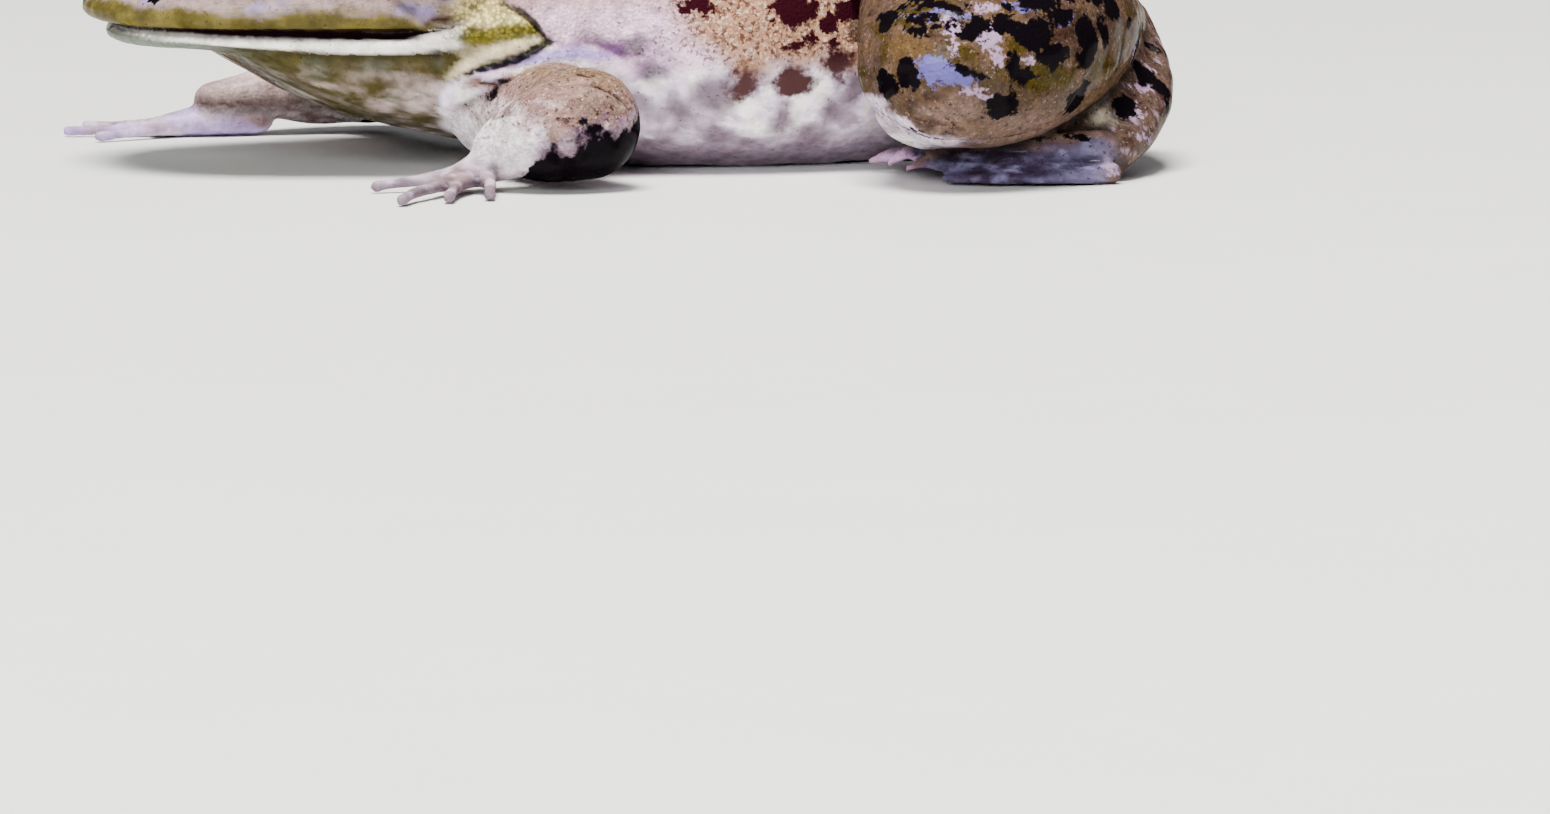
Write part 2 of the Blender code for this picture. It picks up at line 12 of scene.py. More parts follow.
import bpy
import numpy as np
import openvdb
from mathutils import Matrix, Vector


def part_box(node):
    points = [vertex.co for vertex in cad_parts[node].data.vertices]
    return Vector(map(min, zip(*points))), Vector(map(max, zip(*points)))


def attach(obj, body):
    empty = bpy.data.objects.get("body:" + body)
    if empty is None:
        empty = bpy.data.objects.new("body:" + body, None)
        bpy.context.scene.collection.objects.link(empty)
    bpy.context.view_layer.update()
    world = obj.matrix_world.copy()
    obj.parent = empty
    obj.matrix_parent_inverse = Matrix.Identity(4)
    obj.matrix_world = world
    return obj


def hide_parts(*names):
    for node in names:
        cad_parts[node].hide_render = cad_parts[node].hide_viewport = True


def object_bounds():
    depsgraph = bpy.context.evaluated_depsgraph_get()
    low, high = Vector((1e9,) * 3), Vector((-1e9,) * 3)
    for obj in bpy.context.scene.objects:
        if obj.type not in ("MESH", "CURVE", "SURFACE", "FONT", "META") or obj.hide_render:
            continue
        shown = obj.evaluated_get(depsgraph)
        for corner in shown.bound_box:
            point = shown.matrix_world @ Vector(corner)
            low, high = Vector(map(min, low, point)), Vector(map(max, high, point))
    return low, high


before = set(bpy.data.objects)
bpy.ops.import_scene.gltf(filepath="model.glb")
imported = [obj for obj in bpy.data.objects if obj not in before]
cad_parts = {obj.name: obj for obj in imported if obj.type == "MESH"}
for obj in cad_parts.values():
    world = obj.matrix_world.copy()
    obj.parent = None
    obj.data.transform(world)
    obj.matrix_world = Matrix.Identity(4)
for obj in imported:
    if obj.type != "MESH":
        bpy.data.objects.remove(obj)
CAD_BOX = [list(corner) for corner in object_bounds()]

bl_info = {
    "name": "Bullfrog",
    "version": (1, 0, 0),
    "blender": (4, 5, 0),
    "location": "3D View > Sidebar > Bullfrog",
    "description": "Builds the skin and eyes of a life-size bullfrog round its packed solids",
    "category": "Add Mesh",
}

MM = 0.001                    # metres in a millimetre
FAR = 60.0                    # distance given to a point outside a shape's reach
LEFT, RIGHT = -1, 1
SIDES = {"left": LEFT, "right": RIGHT}

EYE_CENTRE = np.array((31.0, 17.0, 39.0))
EYE_RADIUS = 7.4              # of the socket; the eyeball's own is a setting
EYE_LOOK = (-0.28, 0.90, 0.32)    # outward, a little forward and up
LID_THICKNESS = 1.3
LID_OPENING = (6.2, 4.9)      # half width along the head and half height of the opening
LID_OPENING_DEPTH = 0.8       # how deep it is cut, as a share of the socket's radius
MOUND_OFFSET = (-0.5, 2.5, 1.5)
MOUND_RADII = (11.5, 9.0, 8.8)
EAR_CENTRE = (45.0, 30.6, 31.0)
EAR_RADIUS = 6.3
EAR_NORMAL = (0.05, 0.96, 0.28)
NOSTRIL = (8.2, 5.4, 31.0)
NOSTRIL_RADII = (1.0, 0.65, 1.6)

# Stations of the lofts: x, half width, height of the widest line, top, bottom.
UPPER_HEAD = (
    (0, 25.0, 23.0, 28.0, 20.0), (4, 25.2, 23.0, 29.8, 19.8), (8, 25.5, 23.0, 32.0, 19.4),
    (15, 26.0, 23.0, 35.2, 19.0), (22, 27.5, 23.0, 38.0, 18.8), (30, 29.6, 23.2, 41.0, 18.7),
    (40, 31.4, 23.5, 44.0, 18.6), (50, 31.8, 24.0, 46.3, 17.4), (60, 30.0, 24.0, 47.5, 14.0),
    (68, 28.0, 24.0, 47.0, 12.0))
LOWER_JAW = (
    (2, 23.0, 19.2, 22.0, 16.4), (6, 23.6, 19.5, 21.9, 16.9), (12, 24.4, 19.8, 21.6, 17.3),
    (18, 25.2, 20.0, 21.4, 16.7), (24, 26.6, 20.1, 21.4, 13.5), (30, 28.2, 20.1, 21.4, 10.2),
    (36, 29.6, 20.1, 21.4, 7.8), (42, 30.4, 20.0, 21.4, 6.4), (50, 30.8, 20.0, 24.0, 5.8),
    (60, 29.0, 20.0, 29.0, 5.4), (68, 27.0, 20.0, 31.0, 5.0))
TRUNK = (
    (44, 25.0, 21.0, 46.0, 9.0), (55, 29.5, 21.0, 49.2, 5.5), (65, 33.0, 20.5, 52.0, 1.5),
    (75, 36.2, 20.0, 55.0, -1.0), (85, 38.5, 20.0, 57.8, -2.0), (95, 39.0, 20.0, 59.4, -2.3),
    (105, 37.5, 20.0, 59.2, -2.3), (115, 34.0, 20.0, 56.2, -2.0), (125, 29.0, 21.0, 52.0, 0.5),
    (135, 24.0, 22.0, 47.5, 5.0), (145, 20.0, 22.0, 43.5, 7.0), (152, 18.0, 22.0, 42.0, 8.0))

# Each loft's two ends along x, where it begins to round off towards them, and the powers of its
# outline from above, of its sections above the widest line, and of its sections below.
HEAD_FORM = ((0.4, 72), (22, 52), (2.15, 2.25, 2.6))
JAW_FORM = ((3.8, 72), (22, 52), (2.15, 3.2, 2.3))
TRUNK_FORM = ((42, 153), (60, 132), (2.0, 2.05, 2.5))

# Centre lines and radii of the limbs.
ARMS = {
    "left": {
        "arm": ((((57, 20, 10.0), (59.5, 34, 9.6), (61.2, 47.5, 9.4)), (8.6, 7.8, 7.3)),
                (((61.2, 48.5, 9.0), (56.5, 49.5, 8.2), (52, 48.2, 7.2), (49.3, 47, 6.0)),
                 (7.5, 7.0, 5.3, 3.9))),
        "palm": (((50, 46.8, 4.6), (46.2, 46.8, 3.1), (43.4, 47, 2.0)), (3.6, 3.1, 2.3)),
        "fingers": (((44, 45.4, 2.4), (38.5, 45, 1.7), (34.5, 45, 1.3), (31.9, 45.1, 1.0)),
                    ((43.5, 47.6, 2.2), (37.8, 55, 1.7), (33, 61, 1.3), (30.9, 64.4, 0.9)),
                    ((44.3, 49, 2.2), (41, 55, 1.6), (39, 59.8, 1.2), (38, 62.4, 0.9)),
                    ((46.5, 49, 2.2), (46, 54, 1.6), (45, 58, 1.2), (44.4, 60.4, 0.9)))},
    "right": {
        "arm": ((((57, 20, 10.5), (56.5, 34, 10.2), (54, 46.5, 8.8)), (8.6, 7.8, 7.1)),
                (((54, 47.5, 8.4), (46, 48, 7.4), (36, 46.2, 6.3), (28.6, 45.4, 5.2)),
                 (7.2, 6.2, 3.7, 2.8))),
        "palm": (((35, 46, 2.2), (28, 46.2, 2.3), (24.5, 46.6, 2.0), (21, 47.2, 1.4)),
                 (3.0, 3.2, 2.8, 1.9)),
        "fingers": (((23, 45, 1.7), (17.5, 43, 1.3), (13, 41.4, 1.0), (10.5, 40.5, 0.9)),
                    ((21.5, 46.8, 1.7), (16, 48, 1.3), (10.5, 49.6, 1.0), (7.8, 50.4, 0.9)),
                    ((22.5, 48.5, 1.7), (18.5, 52.5, 1.3), (14.5, 56.2, 1.0), (12.2, 58.2, 0.9)),
                    ((26, 49, 1.7), (25.6, 55, 1.3), (24.8, 60, 1.0), (24.3, 62.4, 0.9)))}}
FINGER_RADII = (1.5, 1.05, 0.9, 1.0)
PALM_SQUASH = 0.75
THIGH = (((132, 15, 24), (124, 33, 24.5), (116, 49, 22), (111, 57.5, 18)), (15.5, 16, 14.5, 12.5))
UNDER_THIGH = (((128, 24, 15), (118, 41, 13.6), (110.5, 52, 13.4)), (10.0, 9.8, 8.8))
HEEL_SKIN = (((143, 37, 14.5), (138, 46.5, 9.3), (131, 53, 5.5)), (5.0, 5.2, 3.6))
SHANK = (((110.5, 62.5, 17.5), (117, 58.5, 19), (127.5, 48, 21), (138, 33, 20), (146, 22, 17.5)),
         (11.5, 13.4, 13.4, 9.8, 7.2))
TARSUS = (((146.5, 22, 16.5), (146.8, 33, 13.2), (143, 46, 8.2), (136.6, 55.4, 4.0)),
          (7.2, 5.6, 4.3, 3.2))
TOES = (((134, 52, 3.0), (124, 42, 3.0), (115, 33, 2.2), (111, 29, 1.4)),
        ((133, 54, 3.4), (121, 44, 4.2), (111, 37, 3.0), (106.5, 34.5, 1.5)),
        ((133, 56, 3.4), (121, 50, 5.0), (111, 43.5, 4.2), (107.5, 40.5, 1.6)),
        ((134, 57.5, 5.0), (124, 56, 5.0), (114, 51.5, 4.1), (108, 48.5, 1.7)),
        ((134.5, 60.5, 1.5), (126, 61.8, 1.1), (117, 59.5, 1.0), (111, 56.5, 1.0)))
TOE_RADII = (2.6, 1.8, 1.25, 0.6)
OUTER_TOE_RADII = (1.8, 0.9, 0.8, 0.7)
WEB_THICKNESS = 0.9
WEB_REACH = 0.95              # share of the toes' length that the web joins
SNOUT_RIDGE = (((8, 8, 27.5), (18, 13, 32), (27, 16.5, 35)), (1.5, 2.6, 3.4))
SHOULDER_FOLD = (((46, 26.5, 11), (52, 30.6, 15), (58, 32.8, 17), (65, 34.6, 17.2),
                  (71.5, 35.2, 14.5)), (1.0, 1.9, 2.1, 2.1, 1.0))
EAR_FOLD = (((37, 20, 40.5), (45, 25, 40.5), (52, 28.5, 36.5), (56.5, 30, 29), (59, 30.5, 22)),
            (1.8, 2.2, 2.4, 2.6, 2.4))
MOUTH_CORNER = (((44, 29.3, 21.8), (52, 30.3, 21.3), (58.5, 30.6, 20.6)), (2.6, 3.2, 2.4))

# How far, in millimetres, each shape flows into what it joins.
BLEND = {"head": 1.0, "jaw": 0.9, "mound": 5.0, "lids": 1.6, "snout_ridge": 6.0, "ear_fold": 4.0,
         "mouth_corner": 2.2, "trunk": 16.0, "shoulder_fold": 2.6, "arm": 3.0, "palm": 1.8,
         "finger": 1.2, "thigh": 1.2, "shank": 0.9, "tarsus": 1.5, "toe": 1.2, "opening": 0.6,
         "floor": 0.4}
TUBE_STEPS = 24
WEB_STEPS = 12

# The sampled box: where it begins along each axis, where its spacing changes, and where it ends.
SAMPLED_X, SAMPLED_Y, SAMPLED_Z = (-2.0, 66, 155), (-78.0, 78), (-4.0, -0.5, 30, 63)
ADD_MARGIN, REMOVE_MARGIN = 4, 3    # distances are only worked out this far round a shape
LOFT_SLOPES = (0.5, 4)        # a loft's distances are divided by their own slope, kept within these
SETTLE_ROUNDS, SETTLE_STEP = 3, 0.5
INSET = 0.12                  # the skin lies this much inside the solids' surface
BOX_MARGIN = 0.02             # and its relief stays this much inside their box
EYE_SEGMENTS, EYE_RINGS = 64, 40

# Along x: height of the gap between the lips and half its width, the lower edge of the pale lip, and the
# upper edge of the olive band.
MOUTH_LINE = ((0, 20.5, 0.05), (6, 20.7, 0.1), (10, 20.8, 0.18), (15, 20.8, 0.26), (20, 20.8, 0.33),
              (27, 20.7, 0.37), (35, 20.7, 0.37), (39, 20.7, 0.3), (42, 20.9, 0.2), (45, 21.4, 0.04))
LIP_EDGE = ((0, 20.1), (6, 19.9), (10, 19.6), (16, 19), (23, 18.7), (30, 18.35), (39, 18.2), (45, 18.6))
LIP_BAND = ((0, 25), (6, 24.4), (12, 24), (20, 24), (26, 24.2), (32, 23.8), (39, 22.9), (46, 22.4))
MOUTH_END = 45                # the mouth ends this far behind the snout
NO_MOUTH = -3                 # half width of the gap where there is no mouth

# Where the head ends on its sides, and the shoulder begins: height, then x.
HEAD_END = ((0, 46), (8, 46), (14.5, 47.5), (16, 51), (17, 54), (18, 57), (19.5, 60), (21, 58.5), (23, 57),
            (25, 54), (26.5, 52.5), (32, 54), (40, 58), (50, 62))
NECK_TOP = 60                 # where it ends in the middle of the back

# Creases: line on the surface, half width along it, and depth as a share of the half width.
CREASES = {
    "mouth corner": (((43.5, 31.5, 21.5), (46.5, 32.5, 22), (49, 33, 23)), (0.6, 0.6, 0.1), 0.9),
    "jaw edge": (((47.5, 30, 14.5), (51, 32, 16), (54, 34, 17), (59, 35, 19.5), (61, 35, 20)),
                 (0.2, 0.9, 1, 0.8, 0.1), 0.9),
    "behind head": (((51.5, 32.5, 26.5), (54, 33.5, 25), (57, 34.5, 23), (58.5, 35, 21), (61.5, 36, 18.5)),
                    (0.1, 0.8, 1, 0.9, 0.1), 0.8),
    "elbow": (((57, 52, 15.5), (60, 53, 15.5), (62.5, 53.5, 14.5), (65, 54, 13), (66.5, 54, 11.5),
               (68, 52.5, 8.5)), (0.1, 0.4, 0.5, 0.7, 0.6, 0.1), 0.7),
    "above elbow": (((57, 46.5, 17), (59, 48.5, 17), (60.5, 51, 16.5), (63, 52, 16)), (0.1, 0.6, 0.6, 0.1),
                    0.8),
    "armpit": (((48.5, 30.5, 13), (51.5, 32.5, 14), (53.5, 34.5, 14.5), (55, 36.5, 15)),
               (0.1, 0.7, 0.7, 0.1), 0.8),
    "wrist": (((46, 48, 7.5), (47, 50, 8), (48.5, 52, 8)), (0.1, 0.5, 0.1), 0.8),
    "forearm": (((46.5, 46.5, 10), (48, 49, 10.5), (49.5, 51.5, 11)), (0.1, 0.4, 0.1), 0.8),
    "thigh": (((99.5, 64.5, 21), (103.5, 68.5, 22.5), (107.5, 71.5, 23.5)), (0.1, 0.6, 0.1), 0.7),
    "thigh top": (((101.5, 64, 26), (107.5, 69, 27.5), (115, 69.5, 27)), (0.1, 0.7, 0.1), 0.7),
    "under leg": (((100, 57.5, 12.5), (101.5, 59.5, 10), (103.5, 64.5, 8.5), (106.5, 66.5, 7.5),
                   (110.5, 67.5, 7), (115, 66.5, 7), (120, 65, 7.5), (125, 63, 8.5), (132.5, 53.5, 9.5)),
                  (0.1, 0.9, 0.9, 0.8, 0.7, 0.7, 0.7, 0.5, 0.1), 0.5),
    "heel": (((132.5, 53.5, 9.5), (136, 49, 9.5), (138.5, 47.5, 11), (142, 46.5, 12.5)),
             (0.1, 0.8, 0.8, 0.1), 0.6)}
CREASE_DEPTH = 0.75           # all creases' depths are this much of what is listed
CREASE_SPREAD = 1.3           # each hollow is this much wider than its crease
# Each crease's dark line and the darkening of all hollows are painted shade.
CREASE_PAINT = 0.5            # and its dark line this much narrower
CREASE_SHADE = 11             # darkness of any hollow, for each millimetre below its surroundings

# Thin dark streaks over the knee, as a line on the surface and half widths.
STREAKS = (
    (((100, 59.5, 23.5), (101, 60.5, 24.5), (102, 63, 25.5), (104, 66, 26.5)), (0.2, 0.9, 0.8, 0.2)),
    (((102, 67, 24), (104, 68.5, 25), (105.5, 69.5, 25), (108, 71.5, 24.5)), (0.1, 0.6, 0.6, 0.2)),
    (((100, 65, 21), (101, 67.5, 22.5), (103, 69, 23), (106, 71, 23.5), (108, 72, 23.5)),
     (0.1, 0.5, 0.5, 0.6, 0.1)),
    (((104, 67, 26), (106, 68.5, 26.5), (108, 69.5, 26.5), (110.5, 70.5, 26)), (0.2, 0.9, 0.8, 0.2)),
    (((104, 63.5, 28), (108, 66.5, 28.5), (113, 67.5, 29)), (0.2, 1, 0.3)))

# Lower edge of the leg's brown side, and upper edge of the arm's black underside, which is partly its own
# dark skin and partly painted shade: x, then height.
LEG_EDGE = ((97, 14.5), (100, 13), (101.5, 11), (103.5, 9.5), (106.5, 8), (115, 7))
ARM_SHADE = ((49, 2.5), (52, 5), (55.5, 7), (58, 8), (61, 8), (64, 8), (66, 9), (69, 12))
ARM_SHADE_START = 48          # the right arm has it only from here back

# Folds and swellings: line on the surface, half width, and height as a share of the half width.
FOLDS = {
    "jaw edge": (((46, 29.5, 15), (50, 32, 17), (53, 33.5, 18.5), (57, 34.5, 19.5), (59.5, 35, 20.5)),
                 (0.4, 1.3, 1.4, 1.1, 0.3), 0.35),
    "upper lip": (((1, 6, 25), (6, 18, 24.5), (12, 23.5, 24), (20, 26.5, 24.5), (30, 29, 24.5),
                   (40, 31, 23.5), (47, 32, 23)), (1, 1.2, 1.2, 1.2, 1.2, 1.2, 0.4), 0.14),
    "lower lip": (((4, 6, 20.5), (8, 15.5, 20), (16, 22, 20), (24, 26, 19.5), (32, 28, 19.5),
                   (40, 30, 19.5), (45, 31, 19.5)), (0.6, 0.8, 0.9, 1, 1.1, 1.1, 0.4), 0.3),
    "over the ear": (((52.5, 32, 29), (54, 33, 26), (55.5, 33.5, 24), (57, 34.5, 22)), (0.3, 0.9, 1.1, 0.4),
                     0.3)}

# Rings of relief: how far from the middle or the edge, breadth and height.
EAR_RIM, EAR_GROOVE = (EAR_RADIUS, 0.8, 0.75), (EAR_RADIUS - 1.3, 0.5, -0.45)
LID_RIM, LID_GROOVE = (0.8, 0.7, 0.35), (2.3, 0.5, -0.35)
NOSTRIL_RIM = (1.9, 0.7, 0.4)
UNDER_LIP = (-0.6, 0.6, -0.3)
MOUTH_DEPTH = 0.75

# Unevenness of loose skin and of all skin: height, size and seed.
LOOSE_SKIN = ((0.28, 6.5, 11), (0.12, 2.6, 12))
ALL_SKIN = ((0.05, 1.7, 13),)

# Regions overlap where a point is this near to two of them.
ZONE_INSET, ZONE_SOFTNESS = 0.3, 0.35

# Markings of both sides, which copy the left one; the right one's blotches and flank spots are changed a
# little. Each is x, y, z, then half the width along the body and half the height.
LEG_BLOTCHES = (
    (100, 66, 15, 2, 1.8), (101.5, 70, 17, 1.7, 2.2), (111, 72.5, 23.5, 1.9, 1.3),
    (115.5, 71.5, 23.5, 2.5, 1.1), (120, 71.5, 22, 2.5, 1.8), (124.5, 68.5, 24.5, 2.8, 1.2),
    (129.5, 66, 21, 2.2, 2.7), (123, 70.5, 19, 2.8, 1.6), (128.5, 67, 18, 2.4, 0.9),
    (116.5, 72.5, 18, 1.1, 1.9), (117.5, 72.5, 16.5, 1.9, 0.8), (108.5, 74, 18, 1.4, 0.7),
    (111, 74, 17, 1, 0.7), (115, 72, 12.5, 2.4, 1.8), (128.5, 64, 12.5, 2.4, 1.9),
    (104.5, 69.5, 24.5, 3.4, 0.6), (101, 62.5, 24, 2, 1.6), (107.5, 70, 26, 2.4, 0.5),
    (116.5, 70, 26, 1.2, 0.7), (139.5, 54, 22.5, 1.2, 1), (148, 36.5, 17.5, 2, 0.9),
    (144, 44.5, 14, 2, 1.4), (147, 45, 12.5, 1.6, 1.5), (139.5, 52, 9.5, 2, 1.6), (104, 66.5, 9, 1, 0.8),
    (136, 59, 25, 2.4, 1.8), (131, 62, 27.5, 2.6, 1.6), (144, 47, 18.5, 2.2, 1.6), (121, 69, 27, 2.6, 1.4),
    (126.5, 66, 28, 2.4, 1.6), (103, 67, 27, 3, 0.8), (110.5, 68.5, 28.5, 3, 0.9), (133, 63, 22.5, 1.4, 2),
    (138.5, 56, 17, 1.2, 2), (146.5, 46, 9, 1, 1.6), (118.5, 57, 6.5, 1.6, 0.5),
    (124.5, 57.5, 6.5, 1.1, 0.4), (130.5, 58.5, 6.5, 1.4, 0.5))
FLANK_SPOTS = (
    (94, 38, 24, 3.6, 1.6), (95.5, 38, 22.5, 1.2, 1.2), (103.5, 38, 23.5, 2.7, 1.5),
    (99.5, 38, 22, 1.5, 1.2), (97, 38, 19.5, 1.2, 1.5), (94, 38, 18, 1.6, 0.6), (101, 37, 16, 2.4, 1.9),
    (100.5, 38, 18.5, 1, 1.3), (94.5, 38, 13.5, 2.6, 2.1), (87.5, 37, 14, 2.2, 2.6),
    (81, 37, 24.5, 2.1, 1.2), (91, 38, 22, 1.2, 1))
MOTTLES = (
    (101, 36, 9.5, 1.9, 1.9), (98.5, 34, 5, 2.4, 2), (104, 35, 12.5, 1, 2.3), (78.5, 35, 8.5, 1.7, 1.9),
    (83.5, 37, 11.5, 2.8, 2.6), (85, 34, 5.5, 1.9, 1.4), (93.5, 36, 8, 1.5, 2.2), (74.5, 36, 15, 1.8, 1),
    (72.5, 35, 19, 1.6, 0.9), (89.5, 35, 4.5, 2.2, 1.2), (76.5, 34, 4.5, 2.4, 1.3))
MOTTLE_SPREAD, MOTTLE_DEPTH = 1.5, 9.0    # they fade out at this many times their size, and this deep
# Painted reflections of the sky (lilac) and painted highlights (pink) on the wet leg and foot, given in the
# same way.
PAINTED_LILAC_REFLECTIONS = (
    (104.5, 72, 18, 2.1, 1.9), (106.5, 73, 17, 2, 1.7), (108.5, 73.5, 16.5, 1.7, 1.1),
    (107, 70.5, 25, 3.1, 0.4), (145.5, 45, 13.5, 0.8, 1.1), (118, 70, 26, 1.8, 0.5),
    (101, 63, 24, 1.1, 0.6), (122.5, 71, 19.5, 1.1, 0.6), (125.5, 68, 24, 1.4, 0.5))
PAINTED_PINK_HIGHLIGHTS = (
    (107.5, 71.5, 24, 1.3, 1.7), (107.5, 73, 22, 0.9, 1.6), (113, 72.5, 22, 1.7, 1.6),
    (114, 73, 20, 1.1, 1.4), (112.5, 70.5, 25.5, 2.1, 0.6), (110, 73.5, 14.5, 1.7, 0.8),
    (112, 73, 13.5, 1.3, 0.6), (141, 52.5, 9, 1.4, 0.6), (134, 61.5, 3.5, 0.7, 1.6),
    (119, 72, 18, 0.7, 0.6), (100.5, 63.5, 23, 0.7, 0.5), (143.5, 47, 12.5, 1.6, 0.5),
    (142, 49, 17.5, 1.1, 0.7), (151.5, 32.5, 17.5, 0.7, 0.7), (146, 42.5, 15, 0.7, 0.9),
    (137, 55, 8, 0.9, 1.1), (142, 54.5, 5.5, 1.7, 0.5))

# Dark spots of the left side only, in the same way.
BODY_SPOTS = (
    (51.5, 32.5, 12, 1.3, 1.1), (60.5, 56.5, 9.5, 1.3, 1), (6, 17, 25, 1, 0.7), (61.5, 56, 8.5, 1.1, 1),
    (56.5, 56.5, 10.5, 0.8, 0.5), (58.5, 56.5, 10.5, 0.6, 0.8), (67, 53, 7.5, 1.2, 1.8),
    (34, 28, 22, 0.6, 0.35), (7, 19, 22.5, 0.45, 0.4))
SPREAD = 1.2                  # ragged edges eat into blotches and spots, which are drawn this much larger
EDGE_REACH = 4.0              # distance to a spot's edge is only followed this far

# Scattered spots: least spacing, radii and seed.
SCATTERED = {"back": (7.5, (1.2, 3.4), 41), "upper leg": (5.5, (1.2, 3.0), 42),
             "crown": (7.0, (0.5, 1.2), 43)}

# Soft patches of colour: colour, centre, radii and strength. Lines: colour, line, half widths.
PATCHES = (
    # The arm-coloured and umber patches in the armpit darken its hollow: painted shade.
    ("arm", (50.5, 32, 14), (4.2, 4, 1.2), 1), ("umber", (51.5, 33, 14.5), (3.2, 3, 0.5), 0.7),
    ("straw", (52, 33, 18.5), (7, 4, 1.9), 0.9), ("corner", (55, 34, 21), (4.8, 4, 2.4), 1),
    ("corner", (50, 33, 21), (5.6, 4, 1.9), 1), ("throat", (49, 32, 19), (3, 3, 0.8), 0.6),
    ("cream", (45.5, 31, 20), (3.2, 3, 1.2), 0.8), ("pale_throat", (38.5, 20, 9.5), (2.8, 4, 2.2), 0.6),
    ("pale_throat", (43, 23.5, 10), (2, 4, 2.4), 0.6), ("pale_throat", (30.5, 22, 13), (4.2, 4, 0.9), 0.4),
    ("pale_throat", (45, 26, 13.5), (2.6, 4, 1.5), 0.5), ("purple", (69.5, 35, 18.5), (4.6, 5, 1.7), 1),
    ("purple", (72.5, 35.5, 19), (3.4, 5, 1.7), 0.9), ("purple", (73.5, 35.5, 15.5), (4.2, 5, 1.8), 0.8),
    ("purple", (65, 36, 19.5), (6, 5, 1.3), 0.7), ("gold_leg", (103.5, 68, 20.5), (5.5, 6, 2.4), 1),
    ("gold_leg", (117, 73, 26), (5, 5, 2), 0.8), ("umber", (126.5, 68, 22.5), (8.5, 7, 4.2), 0.85),
    ("umber", (134.5, 60, 23.5), (5, 6, 4), 0.7), ("umber", (142, 50, 19), (4, 6, 5), 0.5),
    ("olive_leg", (121, 70, 16.5), (11, 8, 2.6), 1), ("olive_leg", (133, 61, 17), (5, 5, 2), 0.9),
    ("olive_leg", (117, 72, 21), (2.6, 5, 2.6), 0.9), ("olive_leg", (114.5, 71, 25), (2.4, 4, 1), 0.8),
    ("pale_leg", (107.5, 72, 12), (6, 6, 3), 1), ("pale_leg", (120, 68, 10), (9, 6, 2.2), 0.5),
    ("umber", (104.5, 69.5, 10), (2.6, 4, 1.4), 0.7), ("umber", (102.5, 68, 12), (1.6, 4, 1.8), 0.6),
    ("pale_leg", (104.5, 70.5, 12), (1.3, 3, 0.9), 1), ("white", (105.5, 57, 6), (5, 10, 3), 0.8),
    ("mottle", (104, 52, 7.5), (1.6, 8, 1.4), 0.8), ("hollow", (134.5, 50, 8), (5.5, 6, 3.4), 1),
    ("web", (130.5, 59.5, 3.5), (7.5, 4.5, 3.6), 1), ("toe_tip", (108.5, 42, 1.5), (6.5, 12, 3.4), 1),
    ("foot", (109.5, 50, 3.5), (2, 2.4, 2), 0.6))
LINES = (
    ("straw", ((46.5, 29.5, 15), (50, 32, 17), (53.5, 33.5, 18.5), (57, 34.5, 19.5), (59.5, 35, 20)),
     (0.8, 1.3, 1.2, 1, 0.3)),
    # The lilac line along the shoulder fold is a painted sky reflection, and the white line under it a
    # painted highlight on the fold's ridge.
    ("lilac", ((50, 31.5, 15.5), (54, 34.5, 17), (57.5, 35.5, 17.5), (61, 36, 18), (66, 36.5, 18),
               (71, 36, 17)), (0.5, 1, 1.2, 1.2, 1.2, 0.3)),
    ("white", ((53.5, 34.5, 15.5), (57, 36, 16), (61, 37, 16.5), (65.5, 37, 16), (69, 36.5, 15)),
     (0.2, 0.7, 0.8, 0.9, 0.4)),
    # The umber line over the crease behind the mouth's corner is a painted shadow.
    ("umber", ((41.5, 31.5, 22), (44, 32, 23), (47, 33, 23), (49.5, 33, 24)), (0.2, 0.8, 0.6, 0.1)),
    ("cream", ((43, 31.5, 21.5), (46, 32.5, 22), (49, 33, 23)), (0.1, 0.4, 0.1)),
    ("web", ((131, 61.5, 1.5), (126, 62, 1), (117, 59.5, 1), (111, 56.5, 1)), (2.4, 2.6, 2.4, 1.6)),
    ("toe_ridge", ((133, 58, 6.5), (124, 56.5, 6.5), (114, 52, 5.5), (109, 49, 3)), (1.3, 1.3, 1.2, 1)))

# Small touches of colour, beside the main colours, which are settings. Several are painted light:
# reflections, highlights, glints, shadow and shade.
TOUCHES = {
    "lilac": (0.27, 0.20, 0.43), "white": (0.95, 0.88, 0.87), "purple": (0.20, 0.09, 0.22),
    "plum": (0.16, 0.075, 0.095), "dusk": (0.060, 0.032, 0.055), "umber": (0.030, 0.014, 0.010),
    "hollow": (0.80, 0.72, 0.52), "straw": (0.78, 0.68, 0.42), "toe_ridge": (0.17, 0.105, 0.080),
    "lilac_film": (0.19, 0.16, 0.40), "pink_film": (0.44, 0.33, 0.43), "arm_gold": (0.17, 0.105, 0.055),
    "pale_arm": (0.52, 0.37, 0.35), "mouth_shadow": (0.03, 0.01, 0.012), "hand": (0.4588, 0.364, 0.4488),
    "web_shadow": (0.034, 0.019, 0.040), "brown_spot": (0.020, 0.012, 0.006),
    "lilac_painted_reflection": (0.095, 0.085, 0.26), "pink_painted_highlight": (0.30, 0.20, 0.30)}

# Clouds of smooth noise that the paint is mixed with: how the places are stretched, size and seed.
CLOUDS = {
    "streaks": ((0.35, 1, 1.5), 2.4, 31), "soft": (1, 4.0, 32), "fine": (1, 1.3, 33),
    "leg dots": (1, 1.0, 36), "tarsus dots": (1, 1.1, 37), "drawn": ((0.4, 0.4, 2.8), 1.5, 38),
    "blobs": (1, 2.6, 39), "arm dots": (1, 1.0, 40), "long streaks": ((0.3, 1, 2.4), 1.8, 42),
    "thin streaks": ((0.4, 1, 1.3), 1.2, 43)}

# How noise moves the places that the paint and the spots are read at: size, amount and seed.
PAINT_WANDER = ((3.0, 0.9, 21), (0.9, 0.35, 25))
LINE_WANDER = 0.3             # lines of colour move this share of the paint's way
LINE_EDGE = 0.3               # and are this much wider than listed, for their soft edges
SPOT_WANDER = (2.6, 0.9, 61)

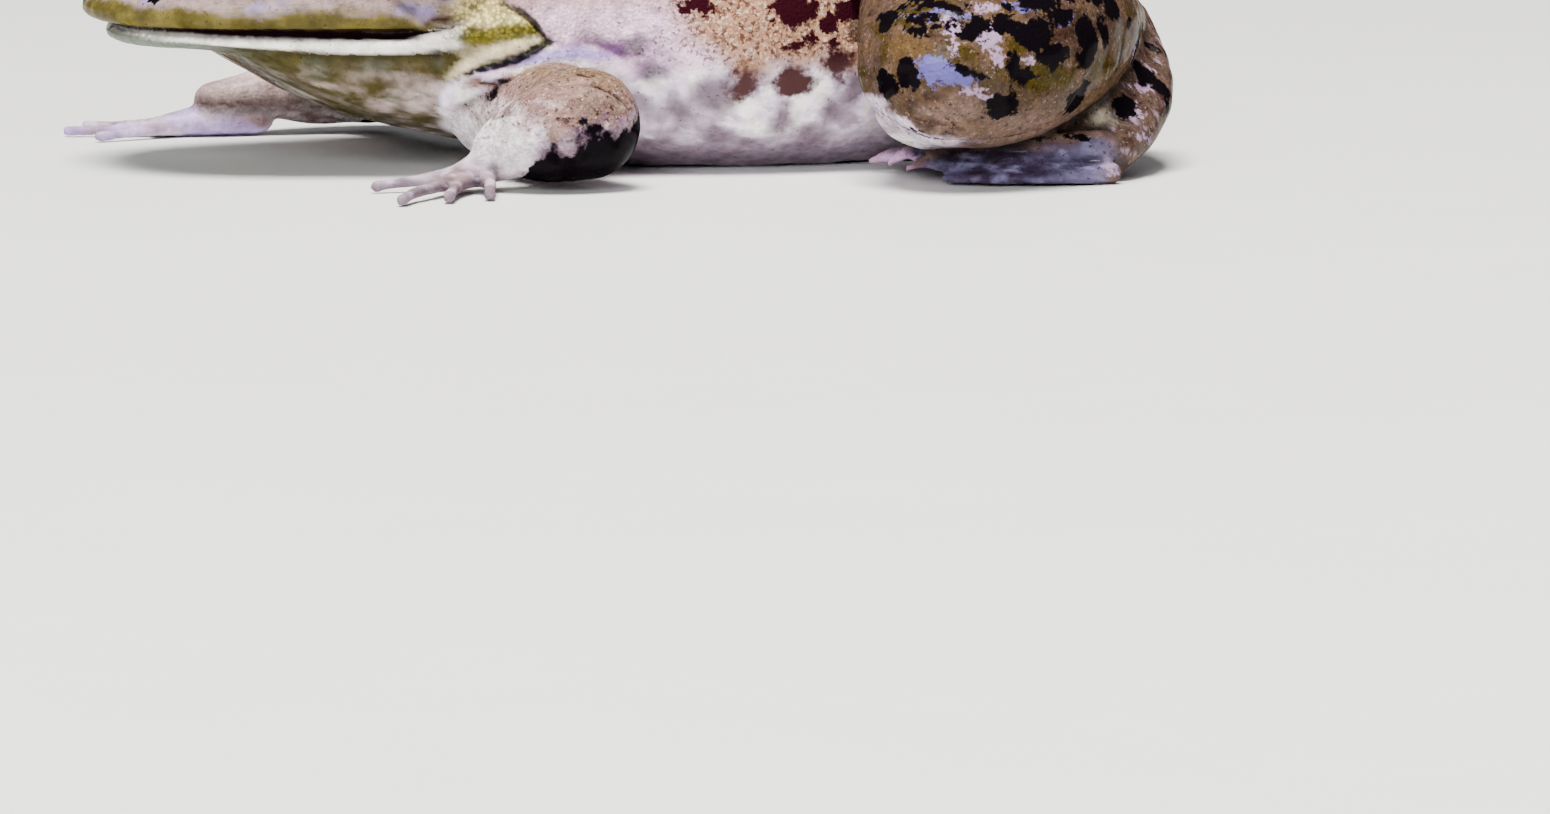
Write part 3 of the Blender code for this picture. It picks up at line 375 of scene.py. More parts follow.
# The paint of each region, one layer over another: colour, brightness and strength, then the masks that
# limit the layer. A mask is a field's name, or a sum of fields, the values at which the mask is 0 and 1,
# and the mask's own two ends where they aren't 0 and 1. The first layer covers the whole region.
LAYERS = {
    "trunk": (
        ("belly", 1, 1),
        ("mottle", 0.9, 0.8, ("blobs + 0.3 fine", 0, 0.4), ("z", 19, 12), ("x", 64, 72)),
        ("white", 1, 1, ("blobs + 0.3 fine", -0.1, -0.4), ("z", 17, 13), ("z", 4, 6)),
        ("mottle", 0.7, 0.9, ("z + 2.5 blobs + 0.75 fine", 8, 2)),
        ("shoulder", 1, 1, ("z", 14, 17), ("x", 90, 80)),
        ("purple", 1, 0.5, ("streaks + 0.4 fine", 0.2, 0.8), ("z", 14, 18), ("x", 84, 76)),
        ("flank", 1, 1, ("z + 3 soft", 13.5, 19), ("x + 0.5 z", 86, 94)),
        ("flank", 0.8, 1, ("z", 22, 29)),
        ("back", 1.5, 1, ("z + 2 soft", 27, 34)),
        ("back", 1, 1, ("z + 2 soft", 32, 42)),
        ("back", 0.55, 0.6, ("soft + 0.5 fine", 0.1, 0.5), ("z", 30, 38)),
        ("crown", 0.9, 0.85, ("x + 6 soft", 84, 58), ("z", 27, 34))),
    "snout": (
        ("snout", 1, 1),
        ("lip", 2, 0.5, ("soft + 0.4 fine", 0, 0.6)),
        # painted sky reflection, in lilac streaks on the snout's side
        ("lilac_film", 1, 0.6, ("streaks", 0.15, 0.6), ("z", 29, 26)),
        ("crown", 1, 1, ("z + 1.5 soft", 26.5, 30.5)),
        ("crown", 0.5, 0.6, ("soft + 0.6 fine", 0.1, 0.6), ("z", 29, 35))),
    "lip": (
        ("lip", 1, 1),
        ("lip", 1.8, 1, ("streaks + 0.3 fine", -0.2, 0.5)),
        # painted shade on the upper lip's underside, over the mouth's gap
        ("lip", 0.5, 0.7, ("below mouth", -1.4, -0.2)),
        ("pale_corner", 0.6, 0.8, ("x", 38, 44), ("z", 21.8, 23))),
    "jaw": (
        ("throat", 1, 1),
        ("chin", 0.6, 0.5, ("soft", -0.2, 0.5)),
        ("pale_throat", 1, 1, ("streaks + 0.5 soft + 0.5 fine", -0.6, 0.9), ("z", 18, 12.6),
         ("x", 28, 40, 0.35, 0.85)),
        ("pale_throat", 1.5, 0.6, ("soft + 0.4 streaks", 0.2, 0.9), ("z", 15, 9)),
        ("throat", 0.6, 0.55, ("fine + 0.6 streaks", 0.1, 0.8)),
        ("throat", 0.7, 0.6, ("thin streaks", 0, 0.6)),
        ("chin", 1, 1, ("x", 19, 10)),
        ("cream", 1, 1, ("over lip edge", -0.25, 0.25), ("x", 2.5, 7), ("x", 50, 44)),
        # painted shade in the groove under the lower lip's pale edge
        ("throat", 0.5, 0.8, "under lip edge", ("x", 18, 26))),
    "leg": (
        ("leg", 1, 1),
        ("gold_leg", 1, 0.7, ("soft", -0.2, 0.5)),
        ("olive_leg", 1, 0.9, ("soft + 0.6 fine", -0.1, -0.6), ("z", 10, 16)),
        ("back", 1, 0.7, ("z", 27, 36)),
        ("pale_leg", 1, 0.9, ("z + soft", 12, 7.5)),
        ("leg", 0.6, 0.7, ("fine + 0.4 streaks", 0.15, 0.6)),
        ("umber", 1, 0.65, ("soft + 0.8 fine", 0.2, 0.8), ("z", 12, 17)),
        ("leg", 1.9, 0.6, ("leg dots + 0.5 soft", 0.4, 0.9)),
        ("belly", 0.8, 1, ("over leg edge", 0.3, -0.4), ("x", 113, 107)),
        ("mottle", 0.5, 0.6, ("soft + 0.5 fine", 0.1, 0.6), ("over leg edge", 0, -0.6)),
        ("belly", 0.8, 0.6, ("z", 5, 2))),
    "arm": (
        ("arm", 1, 1),
        ("leg", 1, 0.7, ("streaks + 0.4 fine", 0, 0.6)),
        ("pale_leg", 1.3, 0.5, ("soft + 0.4 fine", 0.2, 0.7)),
        ("wrist", 1, 1, ("x + 2.5 soft + 2 fine", 56, 49.5), ("z + 2 fine", 13, 8)),
        ("arm_gold", 1, 0.7, ("z + soft", 14, 16)),
        ("purple", 1, 0.6, ("arm dots", 0.3, 0.7), ("x", 49, 53), ("z", 14, 10)),
        # the arm's darker underside: partly its own dark skin, partly painted shade
        ("mottle", 1, 0.7, "shaded arm", ("over shade + 0.9 soft + 0.8 fine", 2.6, 0.8), ("x", 50.5, 53)),
        ("dusk", 1, 0.85, "shaded arm", ("over shade + 0.9 soft + 0.8 fine", 2.4, 0.2), ("x", 51, 54),
         ("fine + 0.5 streaks", -0.3, 0.3)),
        ("pale_arm", 1, 0.9, "right forearm", ("z", 3.5, 5.5)),
        ("plum", 1, 0.85, "right forearm", ("long streaks", -0.1, 0.35), ("z", 8.4, 6.8)),
        ("leg", 0.5, 0.7, "right forearm", ("z + streaks", 9, 5))),
    "hand": (
        ("hand", 1, 1),
        ("arm", 0.6, 0.85, ("streaks + 0.3 fine", -0.4, 0.4)),
        ("lilac", 1.6, 0.6, "right", ("soft", -0.5, 0.5)),
        # painted shade under the left hand's fingers
        ("mottle", 0.45, 0.85, "left", ("z + 0.4 fine", 2.6, 1))),
    "tarsus": (
        ("leg", 1, 1),
        ("foot", 1, 1, ("soft", -0.3, 0.4)),
        ("umber", 1, 0.75, ("fine + 0.5 soft", 0, 0.5)),
        # painted pink glints on the wet tarsus
        ("pink_film", 1, 0.6, ("tarsus dots + 0.3 streaks", 0.5, 0.9))),
    "toes": (
        ("foot", 1, 1),
        ("leg", 0.5, 0.7, ("fine", 0, 0.5))),
    "web": (
        ("web", 1, 1),)}

# Layers over the whole head, with a painted shadow beside the mouth's gap; over the wet web, as painted
# shadow in its folds; and of the dark spots.
MOUTH_AND_EAR = (
    ("mouth_shadow", 1, 0.35, ("mouth", 1, 0), ("x", 6, 14)),
    ("pale_corner", 1, 0.85, ("x", 44, 48), ("z", 28, 25), ("z", 21.5, 22.5)),
    ("drum", 1, 1, "drum"))
WEB_FOLDS = (
    ("web_shadow", 1, 0.9, "webbed", ("drawn + 0.5 fine", 0.15, -0.4), ("x", 137, 118)),)
SPOTS = (
    ("flank_spot", 1, 1),
    ("faded_spot", 1, 1, ("z", 19, 13.5)),
    ("brown_spot", 1, 1, ("z", 27, 33)),
    ("blotch", 1, 1, "limb or head"))
# The web's brighter streaks are painted glints of the water on it.
WEB_PAINTED_GLINT = 2.4               # how much brighter the web is where water runs along it

# Finish of the skin and blur of its spots, where each is a sum of rows: strength, then masks as above.
FINISH = {
    "speckle": (
        (1, "trunk", ("x", 66, 84), ("z", 13, 19), ("z", 27, 34, 0.9, 0.35)), (0.5, "arm", ("z", 8, 10)),
        (0.3, "leg"), (0.35, "tarsus"), (0.2, "toes")),
    "wrinkled": (
        (0.45, "head", ("z", 23.5, 24.5)), (0.1, "head"), (0.6, "arm"), (0.3, "leg"), (0.4, "tarsus"),
        (0.3, "toes"), (0.3, "trunk", ("z", 14, 20)), (0.6, "web"), (0.4, "hand")),
    "pebbled": (
        (1, "head", ("x", 43, 48), ("z", 19, 21)), (0.35, "trunk", ("z", 13, 20)), (0.35, "leg"),
        (0.3, "tarsus"), (0.3, "arm")),
    "grain": (
        (1, "trunk", ("z", 11, 20)), (0.9, "leg"), (0.8, "tarsus"), (0.9, "arm"), (0.35, "head"),
        (0.4, "toes"), (0.3, "hand"), (0.3, "web")),
    "spot blur": ((0.18,), (0.75, "off limb", ("z", 20, 15)), (0.3, "arm"))}


def length(name, description, millimetres):
    """A length property with its default given in millimetres."""
    return bpy.props.FloatProperty(name=name, description=description, default=millimetres * MM,
                                   min=0.0, precision=5, unit="LENGTH")


def tint(name, description, colour):
    """A colour property."""
    return bpy.props.FloatVectorProperty(name=name, description=description, default=colour, size=3,
                                         min=0.0, max=1.0, subtype="COLOR")


def share(name, description, value):
    """A property from 0 to 1."""
    return bpy.props.FloatProperty(name=name, description=description, default=value, min=0.0, max=1.0,
                                   subtype="FACTOR")


class FrogSkinSettings(bpy.types.PropertyGroup):
    """Sizes, finish and colours of the skin."""
    head_spacing: length("Head spacing", "Spacing of the skin's points on the head and arms", 0.66)
    body_spacing: length("Body spacing", "Spacing of the skin's points behind the arms", 1.02)
    wart_height: length("Wart height", "Height of the warts on the back and legs", 0.22)
    wart_size: length("Wart size", "Distance between the warts", 2.6)
    granule_size: length("Granule size", "Distance between the fine granules", 0.5)
    granule_height: length("Granule height", "Height of the fine granules", 0.13)
    wetness: share("Wetness", "How much of the skin carries a film of water", 0.7)
    lip: tint("Upper lip", "Olive band above the mouth", (0.070, 0.056, 0.014))
    # Its grey is partly a painted sky reflection on the wet skin.
    snout: tint("Snout", "Greyed skin above the lip band", (0.25, 0.18, 0.165))
    crown: tint("Crown", "Top of the head", (0.15, 0.14, 0.04))
    cream: tint("Lower lip", "Pale edge of the lower jaw", (1.0, 0.93, 0.85))
    chin: tint("Chin", "Front of the lower jaw", (0.14, 0.165, 0.13))
    throat: tint("Throat", "Side of the lower jaw", (0.056, 0.045, 0.013))
    pale_throat: tint("Pale throat", "Mottles of the lower jaw", (0.55, 0.43, 0.40))
    corner: tint("Corner of the mouth", "Green skin behind the mouth", (0.13, 0.112, 0.016))
    pale_corner: tint("Granular corner", "Creamy skin above the corner of the mouth", (0.60, 0.50, 0.19))
    drum: tint("Ear drum", "Middle of the ear drum", (0.050, 0.036, 0.060))
    shoulder: tint("Shoulder", "Skin over the shoulder", (0.74, 0.50, 0.63))
    belly: tint("Belly", "Lower flank and belly", (0.84, 0.70, 0.86))
    flank: tint("Flank", "Upper flank", (0.37, 0.20, 0.12))
    back: tint("Back", "Top of the trunk", (0.075, 0.056, 0.018))
    mottle: tint("Mottles", "Grey mottles of the lower flank", (0.29, 0.21, 0.27))
    flank_spot: tint("Flank spots", "Maroon spots", (0.022, 0.003, 0.006))
    faded_spot: tint("Faded spots", "Lower spots of the flank", (0.060, 0.026, 0.026))
    arm: tint("Arm", "Top of the arm", (0.23, 0.135, 0.115))
    wrist: tint("Wrist", "Forearm and palm", (0.74, 0.65, 0.68))
    leg: tint("Leg", "Ground of the legs", (0.078, 0.047, 0.034))
    pale_leg: tint("Pale leg", "Lower side of the legs", (0.15, 0.096, 0.076))
    gold_leg: tint("Gold leg", "Golden bands of the legs", (0.098, 0.056, 0.022))
    olive_leg: tint("Olive leg", "Olive bands of the legs", (0.042, 0.028, 0.003))
    foot: tint("Toes", "Top of the toes", (0.080, 0.050, 0.044))
    web: tint("Web", "Skin between the toes", (0.120, 0.105, 0.185))
    toe_tip: tint("Toe tips", "Ends of the fingers and toes", (0.52, 0.30, 0.50))
    blotch: tint("Blotches", "Black blotches of the legs and arms", (0.003, 0.002, 0.003))


class FrogEyeSettings(bpy.types.PropertyGroup):
    """Sizes and colours of the eyes."""
    radius: length("Eyeball", "Radius of the eyeball", 7.3)
    iris_radius: length("Iris", "Radius of the iris's outer edge", 5.6)
    pupil_width: length("Pupil width", "Half the pupil's width", 2.7)
    pupil_height: length("Pupil height", "Half the pupil's height", 1.75)
    gold: tint("Gold", "Bright part of the iris", (0.62, 0.36, 0.06))
    bronze: tint("Bronze", "Dark part of the iris", (0.11, 0.045, 0.012))


class FrogStageSettings(bpy.types.PropertyGroup):
    """Floor, light and camera."""
    floor_colour: tint("Floor", "Colour of the floor", (0.72, 0.72, 0.70))
    light_size: length("Light size", "Width of the square lights", 900)
    camera_distance: length("Camera distance", "From the camera to the snout tip", 1300)


def smooth_min(a, b, radius):
    """The lesser of two distances, less the cube of their closeness: h^3 r / 6, h = (r - |a - b|) / r."""
    closeness = np.maximum(radius - np.abs(a - b), 0) / radius
    return np.minimum(a, b) - closeness**3 * radius / 6


def smooth_max(a, b, radius):
    """The greater of two distances, rounded in the same way."""
    return -smooth_min(-a, -b, radius)


def ramp(value, start, end):
    """Smoothstep: 0 at start, 1 at end, 3t^2 - 2t^3 between. It falls where end is below start."""
    t = np.clip((value - start) / (end - start), 0, 1)
    return t * t * (3 - 2 * t)


def curve(at, knots, values):
    """Cubic Hermite curve through the values, with slopes taken across each knot's neighbours."""
    knots, values = np.asarray(knots, float), np.asarray(values, float)
    slopes = np.gradient(values, knots)
    at = np.clip(at, knots[0], knots[-1])
    i = np.clip(np.searchsorted(knots, at, side="right") - 1, 0, len(knots) - 2)
    span = knots[i + 1] - knots[i]
    t = (at - knots[i]) / span
    start = (2 * t**3 - 3 * t**2 + 1) * values[i] + (t**3 - 2 * t**2 + t) * span * slopes[i]
    end = (3 * t**2 - 2 * t**3) * values[i + 1] + (t**3 - t**2) * span * slopes[i + 1]
    return start + end


def along(table, at):
    """Each column of a table read at the given places along its first column."""
    columns = np.array(table, float).T
    return [curve(at, columns[0], column) for column in columns[1:]]


def resample(points, radii, count):
    """Points and radii at equal steps along a smooth curve through the given points."""
    columns = np.column_stack((points, radii)).astype(float)
    travelled = np.r_[0, np.cumsum(np.linalg.norm(np.diff(columns[:, :3], axis=0), axis=1))]
    at = np.linspace(0, travelled[-1], count + 1)
    *places, radii = (curve(at, travelled, column) for column in columns.T)
    return np.stack(places, axis=1), radii


def mirrored(points, side):
    """Points of the right side, or their mirror images for the left."""
    return np.asarray(points, float) * (1, side, 1)


class Tube:
    """Round tube of changing radius along a smooth centre line; squash flattens it in height."""

    def __init__(self, points, radii, squash=1.0):
        self.points, self.radii = resample(points, radii, TUBE_STEPS)
        self.squash = squash
        self.low = self.points.min(axis=0) - self.radii.max()
        self.high = self.points.max(axis=0) + self.radii.max()

    def distance(self, x, y, z):
        """Least over the centre line's pieces: distance to the piece less its radius there."""
        best = FAR
        ends = zip(self.points[:-1], self.points[1:], self.radii[:-1], self.radii[1:])
        for start, end, start_radius, end_radius in ends:
            run = end - start
            px, py, pz = x - start[0], y - start[1], z - start[2]
            t = np.clip((px * run[0] + py * run[1] + pz * run[2]) / (run @ run), 0, 1)
            px, py, pz = px - t * run[0], py - t * run[1], (pz - t * run[2]) / self.squash
            radius = start_radius + t * (end_radius - start_radius)
            best = np.minimum(best, np.sqrt(px * px + py * py + pz * pz) - radius)
        return best


class Ellipsoid:
    """Ellipsoid with three radii along the rows of axes."""

    def __init__(self, centre, radii, axes=((1, 0, 0), (0, 1, 0), (0, 0, 1))):
        self.centre, self.radii, self.axes = (np.asarray(v, float) for v in (centre, radii, axes))
        reach = np.sqrt(((self.axes * self.radii[:, None])**2).sum(axis=0))
        self.low, self.high = self.centre - reach, self.centre + reach

    def distance(self, x, y, z):
        """k (k - 1) / |grad k|, where k is the point's distance as a share of the radii."""
        x, y, z = x - self.centre[0], y - self.centre[1], z - self.centre[2]
        local = [x * a[0] + y * a[1] + z * a[2] for a in self.axes]
        near = np.sqrt(sum((v / r)**2 for v, r in zip(local, self.radii)))
        slope = np.sqrt(sum((v / r**2)**2 for v, r in zip(local, self.radii)))
        return near * (near - 1) / np.maximum(slope, 1e-6)


class Loft:
    """Body along x with rounded ends, whose sections are superellipses given by stations."""

    def __init__(self, stations, form):
        self.x, self.width, self.middle, self.top, self.bottom = np.array(stations, float).T
        (self.front, self.back), self.caps, self.powers = form
        self.low = np.array((self.front, -self.width.max(), self.bottom.min()))
        self.high = np.array((self.back, self.width.max(), self.top.max()))

    def distance(self, x, y, z):
        """(1 - 1 / k) times the way to the axis, where k is the superellipse ratio of the point."""
        profiles = self.width, self.middle, self.top, self.bottom
        width, middle, top, bottom = (curve(x, self.x, values) for values in profiles)
        front_cap, back_cap = self.caps
        front = np.maximum(front_cap - x, 0) / (front_cap - self.front)
        back = np.maximum(x - back_cap, 0) / (self.back - back_cap)
        plan_power, upper_power, lower_power = self.powers
        plan = (np.maximum(front, back)**plan_power + np.abs(y / width)**plan_power)**(1 / plan_power)
        rise = z - middle
        height = np.where(rise > 0, top - middle, middle - bottom)
        power = np.where(rise > 0, upper_power, lower_power)
        ratio = np.maximum((plan**power + np.abs(rise / height)**power)**(1 / power), 1e-3)
        reach = np.sqrt((x - np.clip(x, front_cap, back_cap))**2 + y**2 + rise**2)
        return (1 - 1 / ratio) * reach


class Web:
    """Thin sheet of skin between two toes, as strips of triangles from one centre line to the other."""

    def __init__(self, toe, next_toe):
        kept = int(WEB_STEPS * WEB_REACH) + 1
        self.lines = [resample(line, TOE_RADII, WEB_STEPS)[0][:kept] for line in (toe, next_toe)]
        both = np.concatenate(self.lines)
        self.low, self.high = both.min(axis=0) - WEB_THICKNESS, both.max(axis=0) + WEB_THICKNESS

    def distance(self, x, y, z):
        """Least distance to the strips' triangles, less half the web's thickness."""
        best = FAR
        one, other = self.lines
        for i in range(len(one) - 1):
            for corners in ((one[i], other[i], one[i + 1]), (other[i + 1], one[i + 1], other[i])):
                best = np.minimum(best, triangle_distance(x, y, z, *corners))
        return best - WEB_THICKNESS / 2


def triangle_distance(x, y, z, a, b, c):
    """Distance to a triangle: to its plane over its inside, and to its nearest edge elsewhere."""
    normal = np.cross(b - a, c - a)
    inside, edge = True, FAR**2
    for start, end in ((a, b), (b, c), (c, a)):
        run, inward = end - start, np.cross(normal, end - start)
        px, py, pz = x - start[0], y - start[1], z - start[2]
        inside = inside & (px * inward[0] + py * inward[1] + pz * inward[2] >= 0)
        t = np.clip((px * run[0] + py * run[1] + pz * run[2]) / (run @ run), 0, 1)
        edge = np.minimum(edge, (px - t * run[0])**2 + (py - t * run[1])**2 + (pz - t * run[2])**2)
    height = ((x - a[0]) * normal[0] + (y - a[1]) * normal[1] + (z - a[2]) * normal[2])**2
    return np.sqrt(np.where(inside, height / (normal @ normal), edge))


def facing(normal):
    """Three axes: the normal, a level one across it, and the upward one across both."""
    normal = np.asarray(normal, float) / np.linalg.norm(normal)
    level = np.cross((0, 0, 1), normal)
    level /= np.linalg.norm(level)
    return np.array((normal, level, np.cross(normal, level)))


def tubes(limbs, side, blend):
    """The tubes of one side, each with its blend radius, from pairs of centre line and radii."""
    return [(Tube(mirrored(line, side), radii), blend) for line, radii in limbs]


def body_shapes():
    """Every part of the body, in the order in which they blend: name to list of (shape, blend radius)."""
    head = [(Loft(UPPER_HEAD, HEAD_FORM), BLEND["head"])]
    jaw = [(Loft(LOWER_JAW, JAW_FORM), BLEND["jaw"])]
    trunk = [(Loft(TRUNK, TRUNK_FORM), BLEND["trunk"])]
    for side in SIDES.values():
        eye = mirrored(EYE_CENTRE, side)
        head.append((Ellipsoid(mirrored(EYE_CENTRE - MOUND_OFFSET, side), MOUND_RADII), BLEND["mound"]))
        head.append((Ellipsoid(eye, (EYE_RADIUS + LID_THICKNESS,) * 3), BLEND["lids"]))
        head += tubes((SNOUT_RIDGE,), side, BLEND["snout_ridge"])
        head += tubes((EAR_FOLD,), side, BLEND["ear_fold"])
        jaw += tubes((MOUTH_CORNER,), side, BLEND["mouth_corner"])
        trunk += tubes((SHOULDER_FOLD,), side, BLEND["shoulder_fold"])
    shapes = {"head": head, "jaw": jaw, "trunk": trunk, "arm": [], "hand": [], "thigh": [], "shank": [],
              "tarsus": [], "toes": [], "web": []}
    for label, side in SIDES.items():
        limb = ARMS[label]
        palm = Tube(mirrored(limb["palm"][0], side), limb["palm"][1], squash=PALM_SQUASH)
        shapes["arm"] += tubes(limb["arm"], side, BLEND["arm"])
        shapes["hand"] += [(palm, BLEND["palm"])]
        shapes["hand"] += tubes([(line, FINGER_RADII) for line in limb["fingers"]], side, BLEND["finger"])
        shapes["thigh"] += tubes((THIGH, UNDER_THIGH), side, BLEND["thigh"])
        shapes["shank"] += tubes((SHANK,), side, BLEND["shank"])
        shapes["tarsus"] += tubes((TARSUS, HEEL_SKIN), side, BLEND["tarsus"])
        toe_radii = [TOE_RADII] * 4 + [OUTER_TOE_RADII]
        shapes["toes"] += tubes(zip(TOES, toe_radii), side, BLEND["toe"])
        shapes["web"] += [(Web(mirrored(line, side), mirrored(after, side)), BLEND["toe"])
                          for line, after in zip(TOES[:-1], TOES[1:])]
    return shapes


def openings():
    """What is taken out of the head: eye sockets, lid openings and nostrils."""
    shapes = []
    for side in SIDES.values():
        centre, axes = mirrored(EYE_CENTRE, side), facing(mirrored(EYE_LOOK, side))
        shapes.append(Ellipsoid(centre, (EYE_RADIUS,) * 3))
        opening = (EYE_RADIUS * LID_OPENING_DEPTH, *LID_OPENING)
        shapes.append(Ellipsoid(centre + axes[0] * EYE_RADIUS, opening, axes))
        shapes.append(Ellipsoid(mirrored(NOSTRIL, side), NOSTRIL_RADII))
    return shapes


def graded(low, bands):
    """Places from low upwards; each band is its upper end and the spacing inside it."""
    places = [np.array([low])]
    for end, spacing in bands:
        start = places[-1][-1]
        steps = max(1, round((end - start) / spacing))
        places.append(np.linspace(start, end, steps + 1)[1:])
    return np.concatenate(places)


class Samples:
    """Distances to the blended body at the points of a box whose spacing changes along each axis."""

    def __init__(self, axes):
        self.axes = axes
        self.values = np.full([len(axis) for axis in axes], FAR, np.float32)

    def reach(self, shape, margin):
        """The slices of the box that a shape reaches, and its distances there."""
        slices = []
        for axis, low, high in zip(self.axes, shape.low - margin, shape.high + margin):
            first, last = np.searchsorted(axis, (low, high))
            slices.append(slice(first, last))
        x, y, z = (axis[cut] for axis, cut in zip(self.axes, slices))
        found = shape.distance(x[:, None, None], y[None, :, None], z[None, None, :])
        found = np.broadcast_to(found, (len(x), len(y), len(z)))
        if isinstance(shape, Loft):
            steepness = np.sqrt(sum(part**2 for part in np.gradient(found, x, y, z)))
            found = found / np.clip(steepness, *LOFT_SLOPES)
        return tuple(slices), found

    def add(self, shape, blend):
        """Blends a shape into the body."""
        where, found = self.reach(shape, blend + ADD_MARGIN)
        self.values[where] = smooth_min(self.values[where], found, blend)

    def remove(self, shape, blend):
        """Takes a shape out of the body."""
        where, found = self.reach(shape, REMOVE_MARGIN)
        self.values[where] = smooth_max(self.values[where], -found, blend)

    def read(self, points):
        """Distance and its gradient at any points, by trilinear interpolation."""
        cells, shares, spans = [], [], []
        for axis, place in zip(self.axes, points.T):
            cell = np.clip(np.searchsorted(axis, place) - 1, 0, len(axis) - 2)
            spans.append(axis[cell + 1] - axis[cell])
            shares.append((place - axis[cell]) / spans[-1])
            cells.append(cell)
        value, slope = 0, np.zeros_like(points)
        for corner in np.ndindex(2, 2, 2):
            weights = [t if bit else 1 - t for bit, t in zip(corner, shares)]
            found = self.values[tuple(cell + bit for cell, bit in zip(cells, corner))]
            value = value + found * weights[0] * weights[1] * weights[2]
            for k in range(3):
                others = weights[(k + 1) % 3] * weights[(k + 2) % 3]
                slope[:, k] += found * others * (1 if corner[k] else -1) / spans[k]
        return value, slope


def largest_shell(points, quads):
    """Keeps only the biggest connected set of faces."""
    label = np.arange(len(points))
    edges = np.concatenate((quads[:, :2], quads[:, 1:3], quads[:, 2:4]))
    while True:
        lowest = label.copy()
        np.minimum.at(lowest, edges[:, 0], label[edges[:, 1]])
        np.minimum.at(lowest, edges[:, 1], label[edges[:, 0]])
        lowest = lowest[lowest]
        if (lowest == label).all():
            break
        label = lowest
    kept = label == np.bincount(label).argmax()
    number = np.cumsum(kept) - 1
    return points[kept], number[quads[kept[quads[:, 0]]]]


class Skin:
    """Points and quads of the skin, with what depends on each point's neighbours."""

    def __init__(self, points, quads):
        self.points, self.quads = points, quads
        pairs = np.concatenate((quads[:, :2], quads[:, 1:3], quads[:, 2:], quads[:, (3, 0)]))
        self.one = np.concatenate((pairs[:, 0], pairs[:, 1]))
        self.other = np.concatenate((pairs[:, 1], pairs[:, 0]))
        self.count = np.bincount(self.one, minlength=len(points))

    def average(self, values):
        """Mean of the values over each point's neighbours."""
        columns = values.reshape(len(values), -1).T
        sums = [np.bincount(self.one, column[self.other], len(values)) for column in columns]
        return (np.stack(sums, axis=1) / self.count[:, None]).reshape(values.shape)

    def normals(self):
        """Outward unit normals: the sum of each point's quads' cross products of their diagonals."""
        a, b, c, d = (self.points[self.quads[:, k]] for k in range(4))
        crossed = np.cross(c - a, d - b)
        total = np.zeros_like(self.points)
        for k in range(3):
            for corner in range(4):
                total[:, k] += np.bincount(self.quads[:, corner], crossed[:, k], len(self.points))
        return total / np.maximum(np.linalg.norm(total, axis=1), 1e-9)[:, None]

    def settle(self, samples, rounds):
        """Evens the points out, then moves each back to the zero surface along the gradient."""
        for _ in range(rounds):
            self.points += 0.5 * (self.average(self.points) - self.points)
            distance, slope = samples.read(self.points)
            step = (distance + INSET) / np.maximum((slope**2).sum(axis=1), 0.2)
            self.points -= slope * np.clip(step, -SETTLE_STEP, SETTLE_STEP)[:, None]


def sampled_body(shapes, head_step, body_step):
    """The blended body, sampled finely at the head and arms and more coarsely behind them."""
    start, change, end = SAMPLED_X
    x = graded(start, ((change, head_step), (end, body_step)))
    start, end = SAMPLED_Y
    y = graded(start, ((end, (head_step + body_step) / 2),))
    start, floor, change, end = SAMPLED_Z
    z = graded(start, ((floor, body_step), (change, head_step), (end, body_step)))
    samples = Samples((x, y, z))
    for group in shapes.values():
        for shape, blend in group:
            samples.add(shape, blend)
    for shape in openings():
        samples.remove(shape, BLEND["opening"])
    below_floor = np.broadcast_to(-z[None, None, :], samples.values.shape)
    samples.values = smooth_max(samples.values, below_floor, BLEND["floor"]).astype(np.float32)
    return samples


def skin_surface(samples):
    """The zero surface of the samples, in millimetres, evened out."""
    grid = openvdb.FloatGrid(FAR)
    grid.copyFromArray(samples.values)
    points, quads = grid.convertToQuads()
    points = np.stack([np.interp(points[:, k], np.arange(len(axis)), axis)
                       for k, axis in enumerate(samples.axes)], axis=1)
    skin = Skin(*largest_shell(points, quads.astype(int)))
    skin.settle(samples, SETTLE_ROUNDS)
    return skin


def scrambled(cells, seed):
    """Evenly spread numbers from 0 to 1 for whole-number cells.

    Multiples of the coordinates are joined bit by bit, and shifted and multiplied until they look random.
    """
    x, y, z = (cells[:, k].astype(np.int64).astype(np.uint64) for k in range(3))
    mixed = x * np.uint64(73856093) ^ y * np.uint64(19349663) ^ z * np.uint64(83492791)
    mixed ^= np.uint64(seed * 2654435761 & 0xFFFFFFFF)
    mixed &= np.uint64(0xFFFFFFFF)
    for shift, factor in ((15, 2246822519), (13, 3266489917)):
        mixed = (mixed ^ mixed >> np.uint64(shift)) * np.uint64(factor) & np.uint64(0xFFFFFFFF)
    return (mixed ^ mixed >> np.uint64(16)) / 2.0**32


def cloud(points, size, seed):
    """Smooth noise from -1 to 1: numbers of a lattice of the given size, blended by the smoothstep curve."""
    places = points / size
    base = np.floor(places)
    t = places - base
    t = t * t * (3 - 2 * t)
    total = 0
    for corner in np.ndindex(2, 2, 2):
        weight = np.prod(np.where(corner, t, 1 - t), axis=1)
        total = total + weight * scrambled(base + corner, seed)
    return 2 * total - 1


def warped(points, size, amount, seed):
    """Points moved by smooth noise, for borders that wander."""
    moves = [cloud(points, size, seed + k) for k in range(3)]
    return points + amount * np.stack(moves, axis=1)


